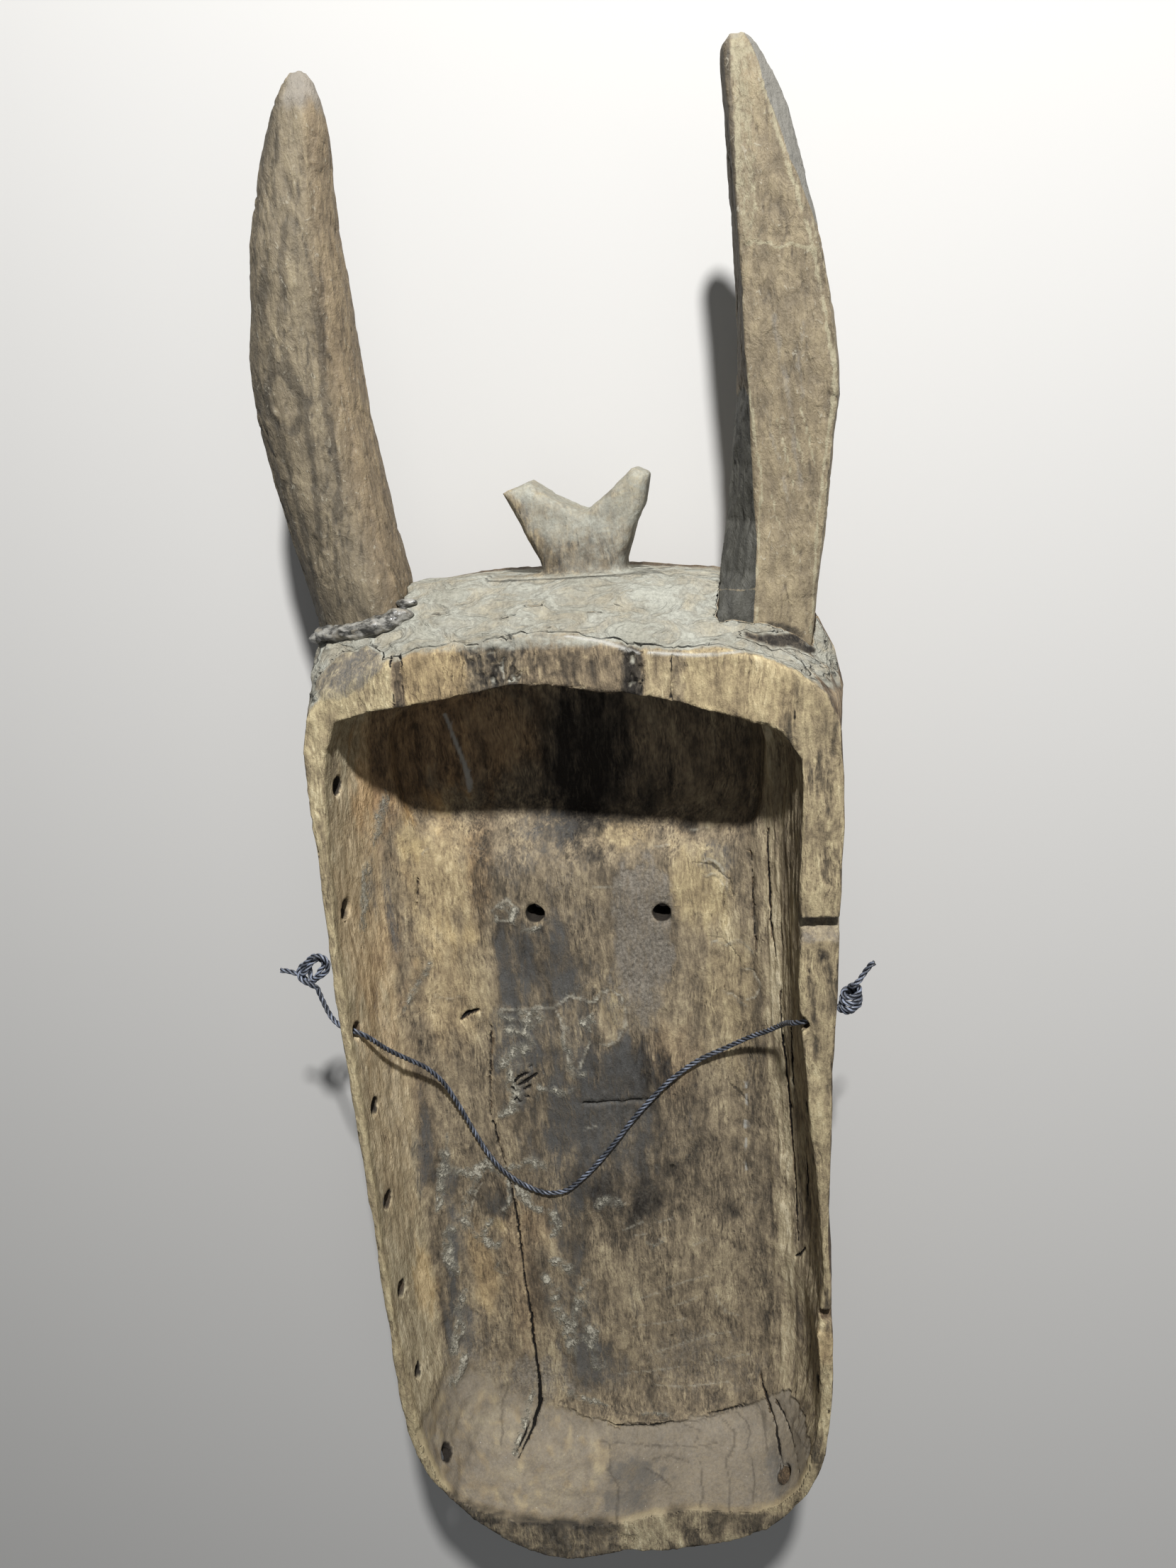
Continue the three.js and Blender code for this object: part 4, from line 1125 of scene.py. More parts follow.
    # Painted shadow: a dark line just beside each lifted film edge, offset by about a millimetre, joins the
    # chin's drying lines.
    beside = u + 0.4 * wander - 0.9, v + 0.4 * wander + 0.9
    shadow = drawn(*beside, FILM_LINES, lambda d, half: ramp(d, half + 0.6, 0))
    line = np.maximum(line, 0.6 * inner * shadow)
    lifted = along(FILM_LINES, 0.4, lambda d, half: ramp(d, half + 0.55, np.maximum(half - 0.2, 0)))
    scratch = along(SCRATCHES, 0.3, lambda d, half: ramp(d, half + 0.5, 0))
    lifted = np.maximum(lifted * (0.3 + 0.7 * lumps(0.005, 52, -0.4, 0.4)), 0.65 * scratch) * inner

    strip = np.zeros((3, len(co)))
    edge_wave = 1.2 * lumps((0.008, 0.006, 0.008), 37)
    for edge_x, *hues in RIM_STRIPS:
        past = ramp(x + edge_wave, edge_x - 0.8, edge_x + 0.8)
        strip += (np.reshape(hues, (3, 1)) - strip) * past
    rim_tone = brow * strip[0] + (1 - brow) * (0.73 - 0.05 * ramp(x, 0, 100))
    rim_red, rim_yellow = brow * strip[1], brow * strip[2] + (1 - brow) * 0.5
    rim_streak = lumps((0.0035, 0.05, 0.01), 38) * ramp(x, 100, 114) * ramp(y, 150, 120)
    rim_tone -= 0.30 * ramp(rim_streak, 0.15, 0.5)
    rim_tone -= 0.2 * spread(x, y, DARK_RIM_MARKS, ragged)
    wrinkle = knot_wrinkles(co)
    wrinkled = 0.05 * ramp(wrinkle, 0.2, 0.7) - 0.08 - 0.30 * ramp(wrinkle, 0.1, -0.3)
    rim_tone += brow * brow_knot(x + 6 * ragged, y) * wrinkled
    fibrous = brow * ramp(x, -17, -11) * ramp(x, 36, 30)
    rim_tone += 0.20 * fibrous * lumps((0.0018, 0.008, 0.01), 53, 0.2, 0.55)
    rim_tone -= 0.16 * fibrous * lumps((0.0025, 0.02, 0.01), 55, 0.15, 0.5)
    rim_tone -= brow * 0.28 * spread(x, y, ((41, 146, 4, 12, 100), (41, 138, 5, 6, 60)), ragged)
    chin_rim = ramp(y, -366, -372)
    left_rim = chin_rim * ramp(x, 6, 0)
    blotched = chin_rim * ramp(x, 30, 36) * lumps((0.012, 0.02, 0.01), 39, -0.5, 0.1)
    rim_tone -= 0.31 * left_rim + 0.34 * blotched
    fibres = lumps((0.02, 0.0016, 0.01), 65) + 0.6 * lumps((0.008, 0.0012, 0.01), 66)
    rim_tone += 0.16 * left_rim * fibres - 0.18 * left_rim * ramp(np.abs(x + 37 + 0.5 * wander), 1.6, 0.4)
    rim_tone -= 0.2 * left_rim * ramp(np.abs(y + 387 - 0.03 * x + wander), 2.2, 0.5) * ramp(z, 129, 131)
    rim_tone += 0.12 * chin_rim * ramp(x, 62, 68) * ramp(x, 78, 72)
    rim_yellow *= 1 - 0.6 * chin_rim
    shoulder = spread(x, y, ((-102, 148, 21, 10, 100, 24),), 0.4 * ragged, 1.25, 0.65)
    slate_shoulder = ramp(shoulder, 0.35, 0.65) * (rim + slope)
    # Painted highlight: the glint along the brow rim's top edge, stored with the pale drips.
    glint = strokes(x + 0.4 * wander, y, RIM_GLINT, 0.8) * ramp(z, 122, 127)
    # Painted shade: a dark ragged stroke on the slope along the gap under the right horn's foot, where dust
    # is also left out.
    foot_shade = slope * strokes(x + 0.5 * wander, y + 0.6 * wander, HORN_FOOT_SHADE, 1.2)
    low_right = (1 - brow) * ramp(x, 110, 118) * ramp(y, -60, -90)
    rim_tone += 0.06 * low_right
    rim_red += 0.35 * low_right * ramp(y, -228, -236) * ramp(y, -262, -250)

    bevel = ramp(x + 0.62 * (y - 196), 4.5, 0.5)
    crest_tone = 0.57 + 0.10 * ramp(standing, 0.0002, 0.0008) - 0.05 * bevel
    crest_tone -= 0.14 * ramp(y + 8 * ragged, 212, 198)
    lip = inner * ramp(z, 124, 131)
    eyes = np.min([np.hypot(x - eye_x, y - EYE_Y) for eye_x in EYE_XS], axis=0)
    # Painted shade: the insides of the eye holes, the wall holes and the corner holes are marked to be
    # painted almost black.
    bore = ramp(eyes, EYE_REACH + 1, EYE_REACH - 1) * ramp(z, 66.5, 65) * ramp(normal[:, 2], 0.75, 0.45)
    for hole_y in WALL_HOLE_YS:
        near_hole = ramp(np.hypot(y - hole_y, z - WALL_HOLE_Z), 7.5, 6.0) * ramp(np.abs(x), 90, 100)
        bore = np.maximum(bore, near_hole * ramp(np.abs(normal[:, 0]), 0.75, 0.45) * ramp(z, 118, 112))
    corners = drawn(x, y, CORNER_HOLES, lambda d, half: ramp(np.hypot(d, z - WALL_HOLE_Z + 1), 6.6, 5.4))
    bore = np.maximum(bore, corners)
    notch = ramp(x, 110, 114) * ramp(np.abs(y - 10.5), 8, 6.5) * ramp(z, 131.7, 131.2) * ramp(z, 116, 120)
    outer *= 1 - notch
    in_hollow = inner * (1 - lip) * (1 - notch)
    on_rim = np.clip(rim + lip, 0, 1) * (1 - notch)
    tone = in_hollow * tone + on_rim * rim_tone + crest * crest_tone + 0.6 * (slope + notch)
    tone += outer * (0.40 + 0.16 * ramp(standing, 0.0003, 0.0009)) - 0.5 * foot_shade
    tone -= 0.16 * crest * strokes(x + 0.5 * wander, y + 0.5 * wander, CREST_GROOVES, 0.8)
    red = in_hollow * red + on_rim * rim_red + outer * 0.4
    yellow = in_hollow * yellow + on_rim * rim_yellow + crest * 0.3 * bevel
    mauve = in_hollow * mauve + rim * left_rim * 0.2 + 0.4 * notch
    slate = in_hollow * slate + slate_shoulder + 0.4 * notch * ramp(y, 8, 14) + 0.2 * crest
    base = ramp(y + 5 * ragged, 210, 200)
    dust = slope * (1 - slate_shoulder) + crest * 0.66 * (1 - 0.5 * bevel) * (1 - 0.4 * base)
    dust = np.maximum(dust, rim * (1 - brow * ramp(y, 158, 154)) * brow * ramp(y, 156, 161) * 0.7)
    wear_and_glint = 1 - ramp(standing, 0.0003, 0.0008)
    store(mesh, "wood", (tone, red, yellow))
    store(mesh, "dirt", (mauve, crust * in_hollow, slate))
    store(mesh, "edge", (dust * (1 - foot_shade), crack_shade, outer * (0.35 + 0.65 * wear_and_glint)))
    store(mesh, "spots", (np.maximum(shine, glint), line * (1 - lifted), film * in_hollow))
    store(mesh, "lines", (lifted * (1 - lip), bore, chin))


class MASK_OT_block(bpy.types.Operator):
    """Carve and colour the block: head, walls, face and crest"""

    bl_idname = "mask.block"
    bl_label = "Carved block"

    def execute(self, context):
        s = context.scene.mask_carving
        fineness = s.fineness * 1.0
        obj = recarved("mask_body", "mask_carving", fineness, 2)
        carve_block(obj.data, s)
        plain, _ = plain_and_marked(obj.data)
        thin_out(obj, plain, s.plain_points)
        plain, marked = plain_and_marked(obj.data)
        thin_out(obj, ~plain & ~marked, s.other_points)
        mesh = obj.data
        co, normal = points_of(mesh), normals_of(mesh)
        refine(mesh, near_lines(co, normal, CRACKS + CHIP_LINES + KNOT_PITS, RIM_LINES, 0.7), 2)
        co, crack_shade = cut_marks(points_of(mesh), normals_of(mesh))
        set_points(mesh, co)
        paint_block(mesh, crack_shade)
        finish_piece(obj, body_material(s), "carved_wood", "mask_body")
        return {"FINISHED"}


def finish_piece(obj, material, slot, *nodes):
    """Gives a finished piece its material, its place on the frame and the nodes it stands for."""
    obj.data.materials.clear()
    obj.data.materials.append(material)
    obj.data.shade_smooth()
    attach(obj, "root")
    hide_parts(*nodes)
    triangles = sum(len(p.vertices) - 2 for p in obj.data.polygons)
    print(obj.name, "triangles", triangles)


# The horns


def horn_veins(co, seed):
    """0 to 1 along narrow branching furrows that run up the horn."""
    bend = noise(co, (0.008, 0.03, 0.008), seed + 6) + 0.4 * noise(co, (0.0035, 0.010, 0.0035), seed + 7)
    return ramp(np.abs(bend), 0.17, 0.02) * ramp(noise(co, (0.02, 0.035, 0.02), seed + 8), -0.45, 0.05)


def carve_horn(co, normal, seed, facets):
    """Moves a horn's points in by long tool facets, furrows, grain and small chips."""
    grain = rough_noise(co, (0.003, 0.03, 0.003), seed + 1, 2)
    best, number = scoops(np.arctan2(normal[:, 2], normal[:, 0]) * 0.02, co[:, 1], 0.009, 0.05, seed)
    cut = np.clip(0.5 - best, -0.5, 0.5) * (0.3 + 0.9 * number)
    chips = np.clip(noise(co, (0.006, 0.012, 0.006), seed + 3) - 0.55, 0, 1)
    depth = 0.0006 * facets * cut + 0.0003 * grain + 0.0016 * chips + 0.0006 * noise(co, 0.03, seed + 4)
    depth += 0.0006 * facets * horn_veins(co, seed) + 0.0002 * rough_noise(co, 0.006, seed + 9, 2)
    return co - normal * depth[:, None]


def horn_marks(side, co, normal, mesh):
    """The horn's shade, hues, painted sides and wear, each a number for each point; the shade includes
    painted shade where the horn faces down, on the left horn's left side and at the right horn's foot.
    """
    x, y = co[:, :2].T
    xm, ym = x / MM, y / MM
    wobble = noise(co, (0.006, 0.02, 0.006), 48)
    wander = 1.3 * noise(co, (0.006, 0.012, 0.006), 56) + 0.7 * noise(co, 0.003, 57)
    standing = ridges(mesh, 10)
    ridge = ramp(standing + 0.0001 * wobble, 0.00020, 0.0006)
    tone = 0.52 + 0.05 * wobble - 0.14 * ramp(standing, -0.0001, -0.0006)
    none = np.zeros(len(co))
    # Where the horn faces down; the tone below is made darker there as painted shade.
    under = ramp(normal[:, 2], -0.1, -0.5)

    def along(across_share, along_share, lines, outer, more, full):
        """Lines that wander a little from their course, from outer half widths and more to full ones."""
        x_there, y_there = xm + across_share * wander, ym + along_share * wander
        return drawn(x_there, y_there, lines, lambda d, half: ramp(d, outer * half + more, full * half))

    if side == "left":
        axis_x = np.interp(y, (0.158, 0.19, 0.24, 0.30, 0.35, 0.394, 0.418), LEFT_HORN_AXIS)
        across = (x - axis_x) / np.interp(y, (0.158, 0.35, 0.418), (0.026, 0.02, 0.006))
        furrow = along(1.5, 2, LEFT_HORN_VEINS, 2, 1.5, 0.5) * ramp(normal[:, 2], 0.0, 0.3)
        vein = np.maximum(0.5 * horn_veins(co, 40) * ramp(across, 1.0, 0.4), furrow)
        # Painted shade: darker towards the left horn's left side and where it faces down.
        tone += 0.03 - 0.09 * ramp(across, -0.2, -0.8) - 0.05 * ramp(across, -0.4, -0.9) - 0.12 * under
        tone += 0.05 * ridge - 0.05 * ramp(y + 0.01 * wobble, 0.27, 0.23)
        tone -= 0.07 * ramp(y + 0.004 * wobble, 0.196, 0.17)
        tip = ramp(y + 0.004 * wobble, 0.396, 0.412) * ramp(across, -0.9, 0.1)
        return tone, 0.05 + 0.35 * ramp(across, 0.4, 1.0), none, none, none, tip, 0.3 * ridge, none, vein
    foot_edge = np.interp(y, (0.148, 0.20, 0.29, 0.42), (0.0985, 0.1015, 0.0985, 0.095))
    left_side = ramp(x + 0.0006 * wobble, foot_edge, foot_edge - 0.0014)
    black = left_side * ramp(y + 0.004 * wobble, 0.276, 0.262)
    ridge_xs = (0.139, 0.1325, 0.119, 0.111, 0.1055, 0.1005)
    past_ridge = x - np.interp(y, (0.30, 0.33, 0.36, 0.384, 0.40, 0.412), ridge_xs)
    slate = ramp(past_ridge + 0.0008 * wobble, 0.0, 0.0012) * ramp(normal[:, 2], -0.3, 0.0)
    broken = 0.55 + 0.45 * ramp(noise(co, (0.005, 0.008, 0.005), 62), -0.4, 0.2)
    chalk = along(0.5, 0.5, RIGHT_HORN_PALE, 1.1, 0.5, 0.2)
    near_tip = ramp(y + 0.006 * wobble, 0.362, 0.394) * (0.55 + 0.45 * ramp(x + 0.002 * wobble, 0.104, 0.099))
    upper_left = ramp(x + 0.002 * wobble, 0.110, 0.100) * ramp(y, 0.30, 0.345)
    pale = np.max([0.6 * ridge, chalk * broken, 0.6 * near_tip, 0.48 * upper_left], axis=0)
    pale = pale * (1 - left_side) * (1 - slate)
    pale = np.maximum(pale, 0.7 * slate * ramp(noise(co, 0.005, 58), 0.45, 0.6))
    blue = 0.8 * along(0.8, 1, RIGHT_HORN_BLUE, 1.5, 0.8, 0.3) * broken * (1 - left_side)
    # The term with under is painted shade, darker where the right horn faces down.
    tone += 0.03 - 0.20 * left_side * (1 - black) - 0.15 * under + 0.04 * ramp(y, 0.30, 0.22)
    # Painted shade: a dark slanted line across the foot of the right horn, along the gap between the horn and
    # the head.
    past_x, past_y = xm - 112 + wander, ym - 158 + 0.3 * (xm - 112) + wander
    tone -= 0.30 * ramp(np.hypot(past_x / 10, past_y / 3.2), 1.2, 0.8)
    tip = 0.5 * ramp(y + 0.003 * wobble, 0.408, 0.413)
    band = ramp(np.abs(y - 0.1785 + 0.0006 * wobble), 0.0009, 0.0003) * left_side
    black = black - 0.5 * band
    return tone, 0.12 + none, 0.1 + none, black, slate, tip, pale, blue, 0.45 * horn_veins(co, 60)


# Lines on the horns
LEFT_HORN_VEINS = (
    (-108, 354, 12, -111, 337, 16, -115, 318, 24, -116, 303, 26, -114, 287, 22, -110, 271, 16, -111, 250,
     12, -111, 229, 14, -113, 208, 10),
    (-98, 334, 10, -98, 317, 14, -99, 298, 14, -101, 282, 18, -100, 266, 16, -100, 245, 14, -100, 224, 10),
    (-121, 336, 14, -125, 319, 20, -124, 308, 26, -122, 296, 30, -128, 284, 30, -129, 274, 24, -125, 264,
     22, -122, 243, 18, -122, 221, 16, -119, 190, 12),
    (-120, 296, 24, -114, 286, 20, -110, 276, 20, -118, 264, 26, -126, 268, 20),
    (-106, 396, 10, -110, 378, 12, -112, 362, 10),
    (-100, 236, 12, -104, 220, 14, -106, 196, 12, -108, 180, 8),
)
RIGHT_HORN_PALE = (
    (96, 408, 24, 98, 387, 22, 96.5, 360, 18, 95.5, 328, 20, 96, 313, 16, 95, 280, 20, 99.6, 266, 16, 102,
     240, 14, 103.9, 234, 16, 102, 206, 10, 100.4, 177, 14, 100, 160, 10),
    (104, 405, 22, 114.5, 372, 18, 122.4, 345.5, 18, 128, 327.6, 22, 132.4, 302, 16, 137, 276, 22, 136,
     257, 16, 132, 232, 14, 128.8, 204, 10, 125.7, 156, 10),
    (98, 330.5, 8, 104, 330, 10, 110, 329, 12, 113.7, 327, 16, 119.4, 328, 8, 124, 326, 16, 129.7, 325.4,
     14), (112, 398, 10, 116, 380, 10), (103, 352, 16, 105, 344, 12),
    (119, 252, 6, 122, 240, 9, 125, 228, 6), (112, 256, 6, 116, 238, 8, 119, 222, 6),
    (122, 262, 6, 126, 246, 9, 128, 234, 5), (117, 200, 8, 119, 194, 10), (108, 222, 5, 112, 206, 8),
)
RIGHT_HORN_BLUE = (
    (111, 300, 12, 113.5, 285, 20, 116, 268, 26, 118, 252, 24, 120, 240, 16, 122, 224, 10),
    (106, 262, 8, 109, 250, 12, 113, 234, 12, 117, 214, 8), (124, 296, 10, 122, 280, 16, 123, 264, 10),
)
LEFT_HORN_AXIS = (-0.1015, -0.1035, -0.112, -0.1145, -0.110, -0.1015, -0.0975)


class MASK_OT_horns(bpy.types.Operator):
    """Carve and colour the two horns"""

    bl_idname = "mask.horns"
    bl_label = "Horns"

    def execute(self, context):
        s = context.scene.mask_horns
        for side, seed, facets in (("left", 40, 1.0), ("right", 60, 0.8)):
            obj = recarved(f"horn_{side}", f"horn_{side}_carving", s.fineness, 1)
            mesh = obj.data
            set_points(mesh, carve_horn(points_of(mesh), normals_of(mesh), seed, facets))
            marks = horn_marks(side, points_of(mesh), normals_of(mesh), mesh)
            store(mesh, "horn", marks[:3])
            store(mesh, "horn_dirt", marks[3:6])
            store(mesh, "horn_wear", marks[6:])
            finish_piece(obj, horn_material(s, f"Horn wood {side}"), "horn_wood", f"horn_{side}")
        return {"FINISHED"}


# The pitch

PITCH_LUMPS = (
    (-123, 163, 100, 5.6), (-116, 165, 105.5, 6.8), (-108, 166, 109.5, 7.4), (-100, 167, 112, 7.6),
    (-92, 169, 113, 7.6), (-84, 171, 113.5, 7.2), (-77, 174, 111.5, 6.2), (-73.5, 180, 107, 4.6),
)


class MASK_OT_pitch(bpy.types.Operator):
    """Press the lumpy pitch round the near side of the left horn's foot"""

    bl_idname = "mask.pitch"
    bl_label = "Pitch"

    def execute(self, context):
        s = context.scene.mask_pitch
        bm = bmesh.new()
        for x, y, z, r in PITCH_LUMPS:
            made = bmesh.ops.create_icosphere(bm, subdivisions=3, radius=r * MM)
            bmesh.ops.scale(bm, vec=(1.35, 0.62, 0.70), verts=made["verts"])
            bmesh.ops.translate(bm, vec=Vector((x, y, z)) * MM, verts=made["verts"])
        obj = new_object("pitch_ring", bm)
        mesh = with_modifier(obj, "REMESH", mode="VOXEL", voxel_size=s.fineness, use_smooth_shade=True)
        co = smoothed(mesh, points_of(mesh), 20)
        set_points(mesh, co)
        normal = normals_of(mesh)
        lumps = 0.0013 * noise(co, (0.010, 0.005, 0.005), 71) + 0.0005 * noise(co, (0.003, 0.002, 0.002), 72)
        set_points(mesh, co + normal * lumps[:, None])
        finish_piece(obj, pitch_material(s), "pitch", "pitch_collar")
        return {"FINISHED"}


# The cord

CORD_ROUTE = (
    -151, -35, 106, -147, -43, 109, -141, -50, 114, -133, -53, 119, -126, -54, 121, -121, -58, 119,
    -118.5, -64, 114, -116, -72, 107, -112, -80, 100, -106.5, -89, 92, -100, -98, 85, -93, -112, 78,
    -86, -133, 72, -80, -151, 69, -73, -167, 68, -64, -180, 68, -51, -190, 68, -38, -195, 68, -26, -193, 68,
    -13, -182, 68, -4, -172, 68, 9, -155, 68, 20, -140, 68, 30, -128, 68, 43, -114, 68, 60, -100, 69,
    76, -90, 72, 90, -79, 79, 100, -70, 88, 107, -61, 98, 110.5, -54, 108, 112.5, -49, 117, 115.3, -45, 124,
    120, -42.3, 127, 125.5, -42, 123, 131, -41.8, 118.3, 136.5, -40.5, 113.8,
)
LEFT_KNOT_ROUTE = (
    -151, -35, 106, -155, -32, 107, -159, -29.5, 107, -161, -25.5, 105, -158.5, -22, 103, -155.5, -24, 102,
    -155, -28, 103.5, -152.5, -29.5, 106, -148, -27.5, 107, -143.5, -24, 107, -142.5, -19, 106.5,
    -145.5, -15.8, 106, -150.5, -15.5, 105.5, -155, -19, 105, -158.5, -23.5, 104.5, -159, -28.5, 104,
    -156, -32, 104.5, -152.5, -31, 106, -149, -25.5, 104, -146, -21.5, 103.5, -148.5, -18.5, 103,
    -153, -20.5, 104, -157, -25.5, 106.5, -162, -26.5, 105, -168, -25.5, 104, -172, -25, 104,
)
RIGHT_KNOT_ROUTE = (
    136.5, -40.5, 113.8, 139, -43, 114, 143, -44.5, 113, 147, -43, 110, 148, -40, 108, 144, -39, 107,
    139.5, -39.5, 110, 139.5, -41, 114, 144, -42, 115, 148.5, -40, 112, 148, -37, 108, 143.5, -36, 107,
    139.5, -37, 110.5, 140, -38, 114.5, 144.5, -38.5, 115, 148.5, -36.5, 112, 148, -34, 108.5,
    143.5, -33, 108, 140, -34, 111, 141, -35, 114, 145, -35, 114.5, 148.5, -33, 112, 147.5, -31, 109.5,
    144, -30.5, 110.5, 145, -29.5, 113, 148, -26.5, 113, 151, -22, 112.5, 154.5, -17.5, 112,
    156, -16.5, 112,
)


# Spacing of the points along the cord and along the knots, and a strand's radius as a share of the cord
CORD_STEP = 0.0007
KNOT_STEP = 0.0006
STRAND_SHARE = 0.24


def smooth_path(corners, spacing):
    """Evenly spaced points, in metres, on the curve that the CAD tube follows."""
    p = np.reshape(corners, (-1, 3)) * MM
    p = np.vstack([2 * p[0] - p[1], p, 2 * p[-1] - p[-2]])
    out = []
    for i in range(1, len(p) - 2):
        a, b, c, d = p[i - 1 : i + 3]
        ta, tb, tc = (max(np.linalg.norm(w - v) ** 0.5, 1e-9) for v, w in ((a, b), (b, c), (c, d)))
        left = tb * ((b - a) / ta - (c - a) / (ta + tb) + (c - b) / tb)
        right = tb * ((c - b) / tb - (d - b) / (tb + tc) + (d - c) / tc)
        for t in np.linspace(0, 1, 24, endpoint=False):
            h = (2 * t**3 - 3 * t**2 + 1, t**3 - 2 * t**2 + t, -2 * t**3 + 3 * t**2, t**3 - t**2)
            out.append(h[0] * b + h[1] * left + h[2] * c + h[3] * right)
    out.append(p[-2])
    out = np.array(out)
    run = np.concatenate([[0], np.cumsum(np.linalg.norm(np.diff(out, axis=0), axis=1))])
    places = np.linspace(0, run[-1], max(int(run[-1] / spacing), 8))
    return np.stack([np.interp(places, run, out[:, k]) for k in range(3)], 1)


def twisted(name, path, diameter, turn, strands, sides=9):
    """A laid cord along the path: strands that wind round it, each a closed tube."""
    run = np.concatenate([[0], np.cumsum(np.linalg.norm(np.diff(path, axis=0), axis=1))])
    ahead = unit(np.gradient(path, axis=0))
    side = np.cross(ahead[0], (0.0, 0.0, 1.0))
    sides_of_path = []
    for t in ahead:
        side = side - t * (side @ t)
        side = side / np.linalg.norm(side)
        sides_of_path.append(side)
    first = np.array(sides_of_path)
    second = np.cross(ahead, first)
    strand_radius = diameter * STRAND_SHARE
    orbit = diameter * 0.5 - strand_radius
    bm = bmesh.new()
    for k in range(strands):
        angle = 2 * math.pi * (run / turn + k / strands)
        centre = path + orbit * (np.cos(angle)[:, None] * first + np.sin(angle)[:, None] * second)
        along = unit(np.gradient(centre, axis=0))
        out = centre - path
        out = unit(out - along * (out * along).sum(1)[:, None])
        over = np.cross(along, out)
        rings = []
        for i in range(len(path)):
            ring = []
            for j in range(sides):
                turn_j = 2 * math.pi * j / sides
                where = centre[i] + strand_radius * (math.cos(turn_j) * out[i] + math.sin(turn_j) * over[i])
                ring.append(bm.verts.new(where))
            rings.append(ring)
        for low, high in zip(rings[:-1], rings[1:]):
            for j in range(sides):
                bm.faces.new((low[j], low[(j + 1) % sides], high[(j + 1) % sides], high[j]))
        bm.faces.new(rings[0][::-1])
        bm.faces.new(rings[-1])
    bmesh.ops.recalc_face_normals(bm, faces=bm.faces)
    obj = new_object(name, bm)
    # How far each point of a strand faces out from the cord, where the cord's material paints its highlight.
    back = np.tile(0.5 + 0.5 * np.cos(2 * math.pi * np.arange(sides) / sides), strands * len(path))
    store(obj.data, "strand", (back, back, back))
    return obj


class MASK_OT_cord(bpy.types.Operator):
    """Lay the twisted cord across the hollow and tie its two knots outside the walls"""

    bl_idname = "mask.cord"
    bl_label = "Cord"

    def execute(self, context):
        s = context.scene.mask_cord
        material = cord_material(s)
        path = smooth_path(CORD_ROUTE, CORD_STEP)
        cord = twisted("cord_twist", path, s.diameter, s.turn, s.strands)
        finish_piece(cord, material, "cord", "cord")
        for side, route in (("left", LEFT_KNOT_ROUTE), ("right", RIGHT_KNOT_ROUTE)):
            knot = twisted(f"knot_{side}_turns", smooth_path(route, KNOT_STEP), s.diameter, s.turn, s.strands)
            finish_piece(knot, material, "cord", f"knot_{side}")
        return {"FINISHED"}


# The stage

# The point that the camera looks at, its lean and side angles and roll, and the photo's height and lens
AIM = Vector((0.016, 0.090, 0.132))
LEAN = math.radians(17)
SIDE = math.radians(9)
ROLL = math.radians(4)
PHOTO_HEIGHT = 2212
FOCAL_PIXELS = 1661
SENSOR = 36.0
FLOOR_REACH = 4.0
KEY_PLACE = (0.24, 1.22, 1.10)
FILL_PLACE = (0.5, 0.1, 1.7)


def camera_matrix(distance):
    """Where the camera stands: out from the aim by its lean and side angles, then rolled clockwise."""
    away = Vector((math.sin(SIDE) * math.cos(LEAN), math.sin(LEAN), math.cos(SIDE) * math.cos(LEAN)))
    right = (-away).cross(Vector((0, 1, 0))).normalized()
    up = right.cross(-away)
    rolled_right = math.cos(ROLL) * right - math.sin(ROLL) * up
    rolled_up = math.sin(ROLL) * right + math.cos(ROLL) * up
    turn = Matrix((rolled_right, rolled_up, away)).transposed().to_4x4()
    return Matrix.Translation(AIM + away * distance) @ turn


def area_light(name, place, target, size, power):
    light = bpy.data.lights.new(name, "AREA")
    light.shape = "DISK"
    light.size = size
    light.energy = power
    obj = new_object(name, light)
    obj.location = place
    obj.rotation_euler = (Vector(target) - Vector(place)).to_track_quat("-Z", "Y").to_euler()


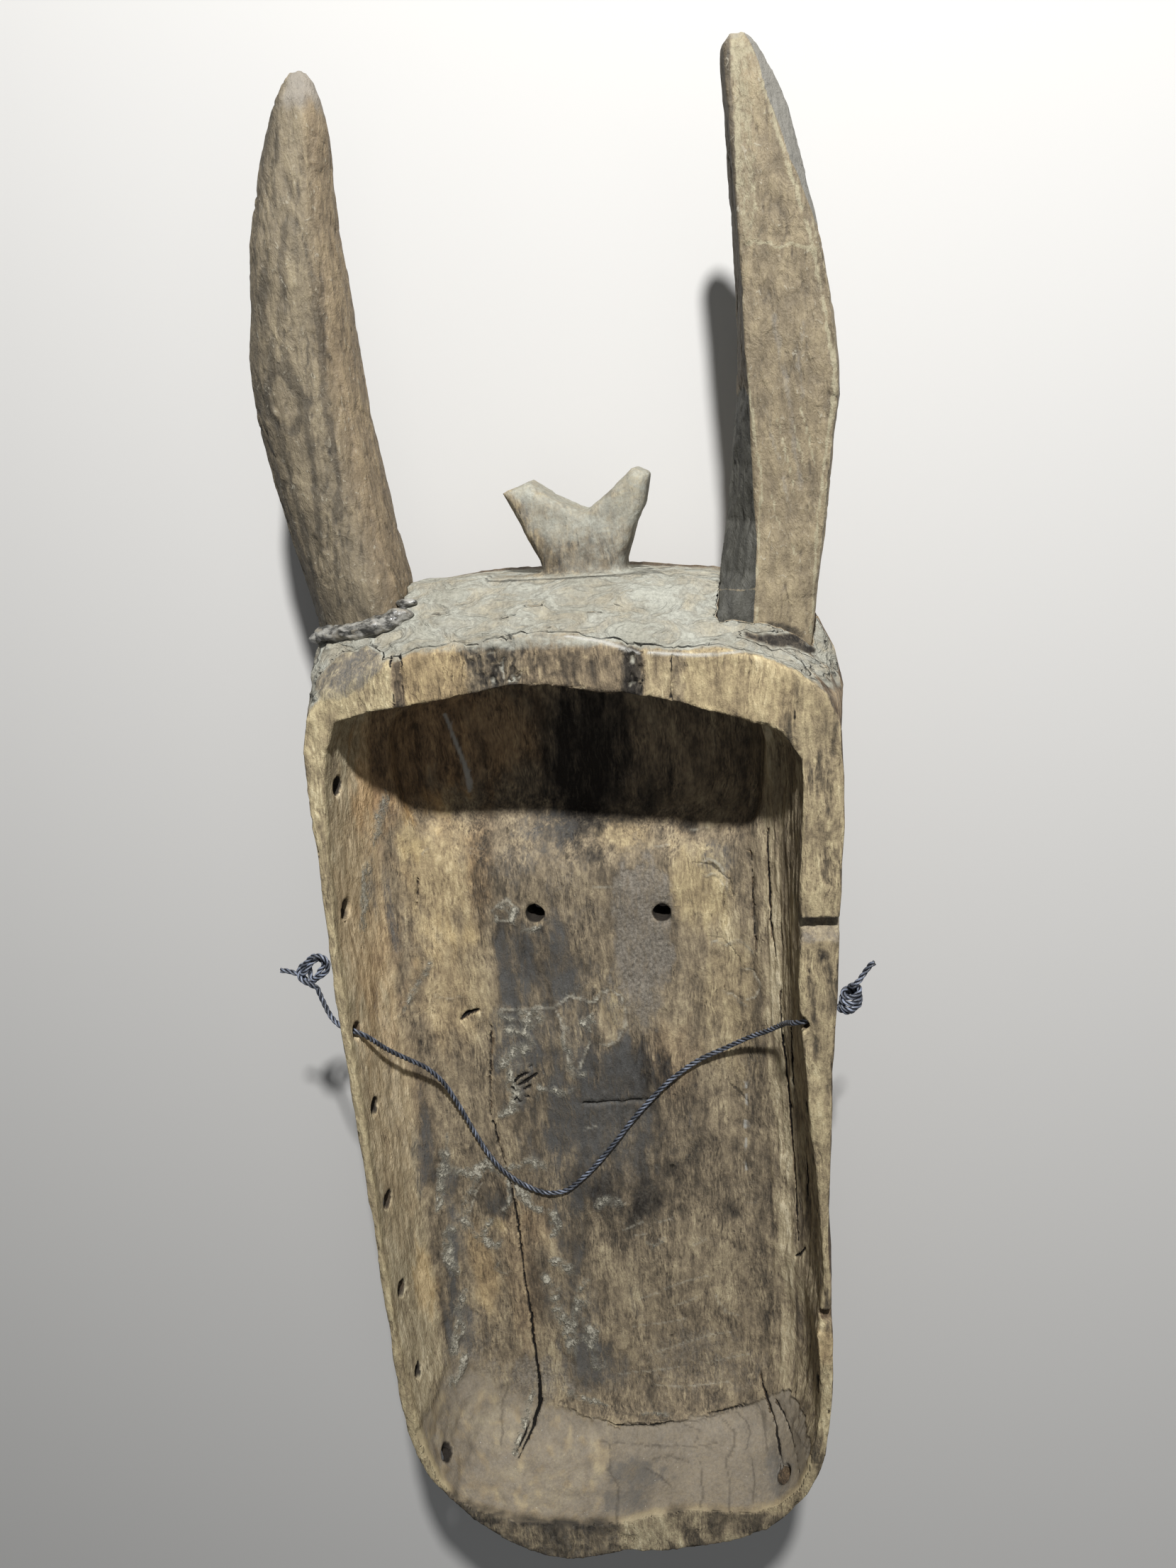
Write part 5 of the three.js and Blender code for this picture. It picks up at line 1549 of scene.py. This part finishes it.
class MASK_OT_stage(bpy.types.Operator):
    """Set the camera, the floor and the soft studio light"""

    bl_idname = "mask.stage"
    bl_label = "Stage"

    def execute(self, context):
        s = context.scene.mask_stage
        camera = bpy.data.cameras.new("Camera")
        camera.sensor_width = SENSOR
        camera.lens = SENSOR * FOCAL_PIXELS / PHOTO_HEIGHT
        camera.clip_start = 0.01
        context.scene.camera = new_object("Camera", camera)
        context.scene.camera.matrix_world = camera_matrix(s.distance)

        bm = bmesh.new()
        bmesh.ops.create_grid(bm, x_segments=1, y_segments=1, size=FLOOR_REACH)
        floor = new_object("floor", bm)
        material = bpy.data.materials.new("Plain floor")
        material.use_nodes = True
        inputs = material.node_tree.nodes["Principled BSDF"].inputs
        inputs["Base Color"].default_value = (*s.floor, 1)
        inputs["Roughness"].default_value = 0.9
        floor.data.materials.append(material)

        world = bpy.data.worlds.new("Studio")
        world.use_nodes = True
        background = world.node_tree.nodes["Background"]
        background.inputs["Color"].default_value = (0.9, 0.95, 1.0, 1)
        background.inputs["Strength"].default_value = s.sky
        context.scene.world = world
        context.scene.view_settings.view_transform = "Standard"
        area_light("Key", place=KEY_PLACE, target=(0, 0, 0.08), size=0.09, power=s.key)
        area_light("Fill", place=FILL_PLACE, target=(0, 0, 0), size=1.4, power=s.fill)
        return {"FINISHED"}


class MASK_PT_panel(bpy.types.Panel):
    """The mask's pieces and their settings"""

    bl_label = "Horned mask"
    bl_idname = "MASK_PT_panel"
    bl_space_type = "VIEW_3D"
    bl_region_type = "UI"
    bl_category = "Mask"

    def draw(self, context):
        for operator, settings, _ in STEPS:
            box = self.layout.box()
            box.operator(operator.bl_idname)
            group = getattr(context.scene, settings)
            for key in group.bl_rna.properties.keys():
                if key not in {"rna_type", "name"}:
                    box.prop(group, key)


STEPS = (
    (MASK_OT_stage, "mask_stage", StageSettings),
    (MASK_OT_cord, "mask_cord", CordSettings),
    (MASK_OT_block, "mask_carving", CarvingSettings),
    (MASK_OT_horns, "mask_horns", HornSettings),
    (MASK_OT_pitch, "mask_pitch", PitchSettings),
)


def register():
    for operator, settings, group in STEPS:
        bpy.utils.register_class(group)
        bpy.utils.register_class(operator)
        setattr(bpy.types.Scene, settings, PointerProperty(type=group))
    bpy.utils.register_class(MASK_PT_panel)


def unregister():
    bpy.utils.unregister_class(MASK_PT_panel)
    for operator, settings, group in reversed(STEPS):
        delattr(bpy.types.Scene, settings)
        bpy.utils.unregister_class(operator)
        bpy.utils.unregister_class(group)


def main():
    register()
    for operator, _, _ in STEPS:
        section, name = operator.bl_idname.split(".")
        getattr(getattr(bpy.ops, section), name)()


if __name__ == "__main__":
    main()
